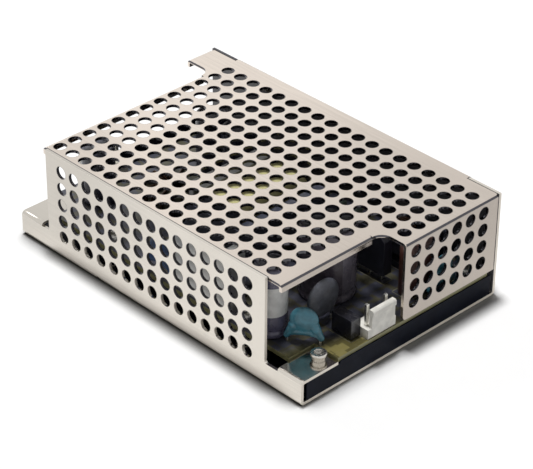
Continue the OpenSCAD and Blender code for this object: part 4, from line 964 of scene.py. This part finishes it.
@dataclass
class Can:
    """A round capacitor can in a shrunk sleeve.

    Attributes:
        node: Node that the can stands for.
        sleeve: Finish of the sleeve.
        slot: Material slot of the record; not used.
        print_kind: How the sleeve is printed.
        print_finish: Finish of the printed area.
        stripe_at: Share of a turn where a stripe starts.
        stripe: Share of a turn that a stripe covers.
        stripe_from: Share of the height that a stripe starts above.
        band: Lower and upper share of the height that a band covers.
        steps: Steps round the can.
        sides: Steps up the straight side.
        roll: Radius of the rolled ends.
        groove: Depth and height of the groove's points.
        spokes: Number of lines pressed into the top.
        spoke_width: Half the width of such a line, as a share of the spacing.
        spoke_reach: How far the lines reach, as a share of the radius.
        pressed: Depth of those lines.
        hollow: Depth of the hollow underside.
        hollow_wall: Top and foot of that hollow's wall, as shares of the radius.
        rim: Width of the sleeve's edge on the top.
        drop: How far inside that edge the points of its drop lie, and how deep.
        sunk: Depth of the top inside the edge.
        top_rings: Shares of the top's radius that have points.
        crease: Angle above which the can's edges stay sharp, in degrees.
    """

    node: str
    sleeve: Finish
    slot: str
    print_kind: Sleeve = Sleeve.BANDED
    print_finish: Finish = Finishes.label
    stripe_at: float = 0.0
    stripe: float = 0.12
    stripe_from: float = 0.02
    band: Point = (0.32, 0.76)
    steps: int = 96
    sides: int = 14
    roll: float = 0.7 * MM
    groove: tuple[Point, ...] = (
        (0.0, 1.7 * MM), (0.22 * MM, 2.1 * MM), (0.42 * MM, 2.6 * MM), (0.22 * MM, 3.1 * MM), (0.0, 3.5 * MM)
    )
    spokes: int = 6
    spoke_width: float = 0.02
    spoke_reach: float = 0.7
    pressed: float = 0.22 * MM
    hollow: float = 0.25 * MM
    hollow_wall: Point = (0.72, 0.74)
    rim: float = 1.25 * MM
    drop: tuple[Point, ...] = ((-0.1 * MM, 0.0), (0.0, 0.12 * MM), (0.15 * MM, 0.35 * MM))
    sunk: float = 0.36 * MM
    top_rings: tuple[float, ...] = (0.7, 0.35, 0.0)
    crease: float = 50.0

    def build(self) -> None:
        """Makes the can with its groove, rolled sleeve and scored top."""
        low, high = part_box(self.node)
        radius = (high.x - low.x) / 2
        height = high.z - low.z
        centre = Vector(((low.x + high.x) / 2, (low.y + high.y) / 2, low.z))
        mesh = bmesh.new()
        body, top = self._profile(radius, height)
        points = body + top
        levels = [(a[1] + b[1]) / 2 / height for a, b in zip(points, points[1:])]
        lathe(
            mesh, points, centre, self.steps,
            lambda i, k: 2 if i >= len(body) else self._number(levels[i], k / self.steps),
        )
        self._press(mesh, centre, radius, height)
        finishes = [self.sleeve, self.print_finish, Finishes.can_top]
        piece = add_piece(self.node + "_can", mesh, finishes, [self.node])
        piece.data.set_sharp_from_angle(angle=math.radians(self.crease))

    def _press(self, mesh: Mesh, centre: Vector, radius: float, height: float) -> None:
        """Presses the lines into the can's top.

        Args:
            mesh: Mesh of the can.
            centre: Foot of the can's axis.
            radius: Radius of the sleeve.
            height: Height of the can.
        """
        for vert in mesh.verts:
            spot = vert.co - centre
            reach = math.hypot(spot.x, spot.y)
            share = math.atan2(spot.y, spot.x) * self.spokes / (2 * math.pi)
            on_line = reach < SAME_SPOT or abs(share - round(share)) < self.spoke_width
            if on_line and reach < radius * self.spoke_reach and spot.z > height / 2:
                vert.co.z -= self.pressed

    def _profile(self, r: float, h: float) -> tuple[list[Point], list[Point]]:
        """Works out the can's profile.

        Args:
            r: Radius of the sleeve.
            h: Height of the can.

        Returns:
            The profile of the sleeved body, and that of the top inside the sleeve's rolled edge.
        """
        roll, side, inner = self.roll, self.groove[-1][1], r - self.rim
        wall_top, wall_foot = (r * share for share in self.hollow_wall)
        body = [(0.0, self.hollow), (wall_top, self.hollow), (wall_foot, 0.0), (r - roll, 0.0)]
        body += [(r - roll + roll * math.sin(a), roll - roll * math.cos(a)) for a in QUARTER_TURN]
        body += [(r - depth, up) for depth, up in self.groove]
        body += [(r, side + (h - roll - side) * (i + 1) / self.sides) for i in range(self.sides)]
        body += [(r - roll + roll * math.cos(a), h - roll + roll * math.sin(a)) for a in QUARTER_TURN]
        edge = [(inner - way, h - depth) for way, depth in self.drop]
        middle = [(inner * share, h - self.sunk) for share in self.top_rings]
        return body + edge[:1], edge[1:] + middle

    def _number(self, level: float, turn: float) -> int:
        """Returns the material number at shares of the height and of a turn: 1 where it is printed."""
        striped = (turn - self.stripe_at) % 1.0 < self.stripe and level > self.stripe_from
        return int(striped if self.print_kind is Sleeve.STRIPED else self.band[0] < level < self.band[1])


@dataclass
class DippedDisc:
    """A dipped disc part whose coating runs down over its two leads.

    Attributes:
        node: Node that the disc stands for.
        finish: Finish of the coating.
        slot: Material slot of the record; not used.
        turn: Turn of the disc about the upright axis, in degrees.
        diameter: Diameter of the disc.
        thickness: Thickness of the disc.
        pitch: Spacing of the leads.
        leg: Radius of a coated leg at its foot.
        shoulder: Place along the disc and height of a leg's upper end, as shares of the diameter.
        shoulder_r: Radius of a leg there.
        skin: Mesh size of the coating.
    """

    node: str
    finish: Finish
    slot: str
    turn: float
    diameter: float = 13.0 * MM
    thickness: float = 3.6 * MM
    pitch: float = 7.5 * MM
    leg: float = 0.8 * MM
    shoulder: Point = (0.22, -0.12)
    shoulder_r: float = 1.75 * MM
    skin: float = 0.2 * MM

    def build(self) -> None:
        """Makes the coating as one smooth skin over disc and leads."""
        low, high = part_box(self.node)
        middle = Vector(((low.x + high.x) / 2, (low.y + high.y) / 2, high.z - self.diameter / 2))
        place = Matrix.Translation(middle) @ Matrix.Rotation(math.radians(self.turn), 4, "Z")
        mesh = bmesh.new()
        flat = Matrix.Diagonal((self.diameter / 2, self.thickness / 2, self.diameter / 2, 1.0))
        bmesh.ops.create_uvsphere(mesh, u_segments=40, v_segments=24, radius=1.0, matrix=place @ flat)
        for along, up, radius in self.runs(low.z - middle.z):
            spot = place @ Matrix.Translation((along, 0.0, up))
            bmesh.ops.create_icosphere(mesh, subdivisions=3, radius=radius, matrix=spot)
        piece = add_piece(self.node + "_coating", mesh, [self.finish], [self.node])
        remesh = piece.modifiers.new("one_skin", "REMESH")
        remesh.mode = "VOXEL"
        remesh.voxel_size = self.skin
        remesh.use_smooth_shade = True
        relax = piece.modifiers.new("relaxed", "SMOOTH")
        relax.factor = 0.5
        relax.iterations = 6

    def runs(self, foot: float) -> list[Ball]:
        """Returns the balls of the coated legs, whose feet are at a height above the disc's middle."""
        return self.row((self.pitch / 2, foot + self.leg, self.leg), self.upper_end())

    def upper_end(self) -> Ball:
        """Returns the ball at a leg's upper end."""
        along, up = self.shoulder
        return self.diameter * along, self.diameter * up, self.shoulder_r

    def row(self, start: Ball, end: Ball, count: int = 14) -> list[Ball]:
        """Lines up balls from one to another, on both sides of the disc.

        Args:
            start: Place along the disc, height and radius of the first ball.
            end: The same of the last ball.
            count: Number of balls on each side.

        Returns:
            The balls.
        """
        balls = []
        for i in range(count):
            along, up, radius = (a + (b - a) * i / (count - 1) for a, b in zip(start, end))
            balls += [(along, up, radius), (-along, up, radius)]
        return balls


@dataclass
class BellDisc(DippedDisc):
    """A ceramic disc capacitor whose coating spreads like a bell and flares at the leads.

    Attributes:
        splay: How far a leg's tip stands outside its lead.
        flare: Place outside the lead, height above the foot and radius of a leg's flare.
        hip: Place outside the lead and radius of the ball where a leg leaves the bell.
        skirt: Half the width of the bell's lower edge.
        skirt_drop: Depth of that edge below the disc's middle, as a share of the diameter.
        skirt_r: Radius of that edge.
        skirt_steps: Number of balls on each half of it.
        sag: How far the ends of that edge hang down.
    """

    diameter: float = 8.8 * MM
    pitch: float = 10.0 * MM
    leg: float = 0.72 * MM
    shoulder: Point = (0.36, -0.26)
    shoulder_r: float = 1.65 * MM
    splay: float = 0.1 * MM
    flare: Ball = (0.2 * MM, 1.1 * MM, 1.05 * MM)
    hip: Point = (-0.7 * MM, 1.25 * MM)
    skirt: float = 4.2 * MM
    skirt_drop: float = 0.477
    skirt_r: float = 1.2 * MM
    skirt_steps: int = 9
    sag: float = 0.5 * MM

    def runs(self, foot: float) -> list[Ball]:
        """Works out the legs, their flared tips and the bell's lower edge.

        Args:
            foot: Height of the feet above the disc's middle; it is negative.

        Returns:
            The balls that make them up.
        """
        lead = self.pitch / 2
        tip = (lead + self.splay, foot + self.leg, self.leg)
        flare = (lead + self.flare[0], foot + self.flare[1], self.flare[2])
        hip = (lead + self.hip[0], -self.diameter / 2, self.hip[1])
        balls = self.row(tip, hip) + self.row(hip, self.upper_end(), count=8) + self.row(flare, hip, count=6)
        for i in range(-self.skirt_steps, self.skirt_steps + 1):
            share = i / self.skirt_steps
            depth = self.diameter * self.skirt_drop + self.sag * share ** 2
            balls.append((self.skirt * share, -depth, self.skirt_r))
        return balls


@dataclass
class InputStage:
    """The parts round the front connector.

    Attributes:
        plastic_edge: Rounding of moulded edges.
        header_edge: Rounding of the header's edges.
        pin_edge: Rounding of the pins' edges.
        discs: Dipped disc parts.
        cans: Capacitor cans.
    """

    plastic_edge: float = 0.22 * MM
    header_edge: float = 0.08 * MM
    pin_edge: float = 0.18 * MM
    discs: tuple[DippedDisc, ...] = (
        BellDisc("front_disc_capacitor", Finishes.teal, "teal_coating", -56.0),
        BellDisc("flange_disc_capacitor", Finishes.teal, "teal_coating", 0.0),
        BellDisc("near_disc_capacitor", Finishes.blue, "blue_coating", 90.0),
        DippedDisc("inrush_thermistor", Finishes.grey, "dark_coating", 0.0),
    )
    cans: tuple[Can, ...] = (
        Can("input_capacitor", Finishes.input_sleeve, "input_sleeve"),
        Can(
            "bulk_capacitor", Finishes.bulk_sleeve, "bulk_sleeve", Sleeve.STRIPED, Finishes.bulk_stripe,
            stripe_at=0.707, stripe=0.13,
        ),
    )

    def build(self) -> None:
        """Makes discs and cans and rounds the moulded parts."""
        for part in (*self.discs, *self.cans):
            part.build()
        moulded = ("fuse", "bridge_rectifier", "line_filter_capacitor", "filter_choke_base")
        soften(self.plastic_edge, *moulded, segments=3)
        soften(self.header_edge, "front_header_housing")
        soften(self.pin_edge, "front_header_pins")

    def dress(self) -> None:
        """Gives the parts that stay as they are their finishes."""
        dress(Finishes.nylon, "front_header_housing")
        dress(Finishes.tin, "front_header_pins")
        dress(Finishes.shaded_brown, "line_filter_capacitor")
        dress(Finishes.ferrite, "filter_choke_core")
        dress(Finishes.copper, "filter_choke_windings")
        dress(Finishes.gloss_black, "fuse")
        dress(Finishes.black, "bridge_rectifier", "filter_choke_base")


@dataclass
class PowerStage:
    """The switching parts, the transformer and the heatsinks.

    Attributes:
        edge: Rounding of plate and moulded edges.
        moulded: Nodes in black mouldings.
    """

    edge: float = 0.2 * MM
    moulded: tuple[str, ...] = (
        "switching_transistor", "left_rectifier", "right_rectifier", "transformer_bobbin"
    )

    def build(self) -> None:
        """Rounds the edges of plates and mouldings."""
        soften(self.edge, "primary_heatsink", "secondary_heatsink", "transformer_core", *self.moulded)

    def dress(self) -> None:
        """Gives the parts their finishes."""
        dress(Finishes.aluminium, "primary_heatsink")
        dress(Finishes.dull_aluminium, "secondary_heatsink")
        dress(Finishes.black, *self.moulded)
        dress(Finishes.ferrite, "transformer_core")
        dress(Finishes.tape, "transformer_winding")


@dataclass
class OutputStage:
    """The output filter, the rear connector and the small control parts.

    Attributes:
        edge: Rounding of moulded edges.
        pin_edge: Rounding of the pins' edges.
        cans: Capacitor cans.
    """

    edge: float = 0.2 * MM
    pin_edge: float = 0.18 * MM
    cans: tuple[Can, ...] = tuple(
        Can(node, Finishes.output_sleeve, "output_sleeve", Sleeve.STRIPED)
        for node in ("near_output_capacitor", "front_output_capacitor", "rear_output_capacitor")
    )

    def build(self) -> None:
        """Makes the cans and rounds the moulded parts."""
        for can in self.cans:
            can.build()
        soften(self.edge, "rear_header_housing", "controller_chip", "optocoupler", "output_choke_core")
        soften(self.pin_edge, "rear_header_pins")

    def dress(self) -> None:
        """Gives the parts that stay as they are their finishes."""
        dress(Finishes.nylon, "rear_header_housing")
        dress(Finishes.tin, "rear_header_pins")
        dress(Finishes.ring, "output_choke_core")
        dress(Finishes.copper, "output_choke_winding")
        dress(Finishes.resistor, "power_resistors")
        dress(Finishes.black, "controller_chip", "optocoupler")


@dataclass(frozen=True)
class Lamp:
    """A soft square lamp that looks at the object.

    Attributes:
        name: Lamp name.
        place: Place of the lamp.
        size: Side of the lamp.
        power: Power in watts.
        mirrored: Whether reflections show the lamp.
    """

    name: str
    place: Place
    size: float
    power: float
    mirrored: bool = True

    def build(self) -> None:
        """Makes the lamp."""
        data = bpy.data.lights.new(self.name, "AREA")
        data.size = self.size
        data.energy = self.power
        lamp = show(self.name, data)
        lamp.visible_glossy = self.mirrored
        lamp.location = self.place
        lamp.rotation_mode = "QUATERNION"
        lamp.rotation_quaternion = (-Vector(self.place)).to_track_quat("-Z", "Y")


@dataclass
class Studio:
    """Pale floor, soft light and the camera.

    Attributes:
        eye: Place of the camera.
        azimuth: Direction that the camera looks in, from +Y towards +X, in degrees.
        elevation: Height of the camera above the horizon, in degrees.
        roll: Turn of the camera about its own axis, in degrees.
        lens: Focal length on a 36 mm wide sensor.
        lamps: The lamps.
        ambient: Strength of the light from all round.
        floor_tone: Floor tone that lights the object.
        floor_white: Floor tone that the camera and reflections see, so that the lit floor is white.
        painted_shadow_tone: Floor tone of the painted shadow right beside the object.
        floor_gap: Gap between the object and the floor.
        contact: How far the painted soft shadow right beside the object reaches.
        contact_range: Openness at which that shadow is full, and at which it ends.
        seen: Kinds of rays that see the surroundings.
    """

    eye: Place = (-0.4197, -0.4353, 0.4002)
    azimuth: float = 44.28
    elevation: float = 32.8
    roll: float = 0.545
    lens: float = 153.83
    lamps: tuple[Lamp, ...] = (
        Lamp("key_light", (0.03, 0.09, 1.20), 0.16, 12.6, mirrored=False),
        Lamp("back_light", (0.10, 0.90, 0.80), 0.40, 1.6),
    )
    ambient: float = 0.14
    floor_tone: float = 0.90
    floor_white: float = 1.0
    painted_shadow_tone: float = 0.10
    floor_gap: float = 0.1 * MM
    contact: float = 0.010
    contact_range: Point = (0.36, 0.97)
    seen: tuple[str, ...] = ("Camera", "Glossy", "Transmission")

    def build(self) -> None:
        """Makes the camera, the floor, the world and the lamps."""
        self._camera()
        self._floor()
        self._world()
        for lamp in self.lamps:
            lamp.build()
        bpy.context.scene.view_settings.view_transform = "Standard"

    def _camera(self) -> None:
        """Makes the camera at the photograph's viewing angle."""
        data = bpy.data.cameras.new("camera")
        data.lens = self.lens
        data.sensor_width = 36.0
        data.clip_end = 10.0
        camera = show("camera", data)
        a, e = math.radians(self.azimuth), math.radians(self.elevation)
        ahead = Vector((math.sin(a) * math.cos(e), math.cos(a) * math.cos(e), -math.sin(e)))
        turn = ahead.to_track_quat("-Z", "Y").to_matrix().to_4x4()
        roll = Matrix.Rotation(math.radians(self.roll), 4, "Z")
        camera.matrix_world = Matrix.Translation(self.eye) @ turn @ roll
        bpy.context.scene.camera = camera

    def _floor(self) -> None:
        """Makes a pale floor that keeps the lamps' shadow and has a painted soft shadow right beside the
        object.
        """
        mesh = bmesh.new()
        below = Matrix.Translation((0, 0, -self.floor_gap))
        bmesh.ops.create_grid(mesh, x_segments=1, y_segments=1, size=3.0, matrix=below)
        floor = show("floor", mesh)
        material = bpy.data.materials.new("pale_floor")
        graph = Surface(material)
        seen = graph.mix(self._seen(graph), (self.floor_tone,) * 3, (self.floor_white,) * 3)
        # painted shadow: the floor darkens right beside the object, for camera rays only
        beside = graph.fill(graph.add("AmbientOcclusion", samples=16), Distance=self.contact)
        shade = graph.math("SUBTRACT", 1.0, graph.ramp(beside.outputs["AO"], *self.contact_range))
        shade = graph.math("MULTIPLY", shade, graph.add("LightPath").outputs["Is Camera Ray"])
        base = graph.mix(shade, seen, (self.painted_shadow_tone,) * 3)
        graph.shade(Base_Color=base, Roughness=0.9, Specular_IOR_Level=0.0)
        floor.data.materials.append(material)

    def _world(self) -> None:
        """Lights the scene evenly and shows white to the camera and in reflections."""
        world = bpy.data.worlds.new("studio")
        world.use_nodes = True
        bpy.context.scene.world = world
        graph = Graph(world.node_tree)
        strength = graph.add("Mix", data_type="FLOAT")
        for index, value in ((0, self._seen(graph)), (2, self.ambient), (3, 1.0)):
            graph.feed(value, strength.inputs[index])
        back = world.node_tree.nodes["Background"]
        graph.fill(back, Color=(1.0, 1.0, 1.0), Strength=strength.outputs[0])

    def _seen(self, graph: Graph) -> Socket:
        """Returns a mask of camera, reflected and let-through rays, which see the surroundings."""
        camera, glossy, through = (graph.add("LightPath").outputs[f"Is {kind} Ray"] for kind in self.seen)
        return graph.math("MAXIMUM", graph.math("MAXIMUM", camera, glossy), through)


def main() -> None:
    """Builds and dresses the supply and its studio in order."""
    logging.basicConfig(level=logging.INFO, format="%(name)s: %(message)s")
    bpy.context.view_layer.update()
    for stage in (SheetEnclosure(), Board(), InputStage(), PowerStage(), OutputStage()):
        stage.build()
        stage.dress()
        LOG.info("finished %s", type(stage).__name__)
    Studio().build()


if __name__ == "__main__":
    main()
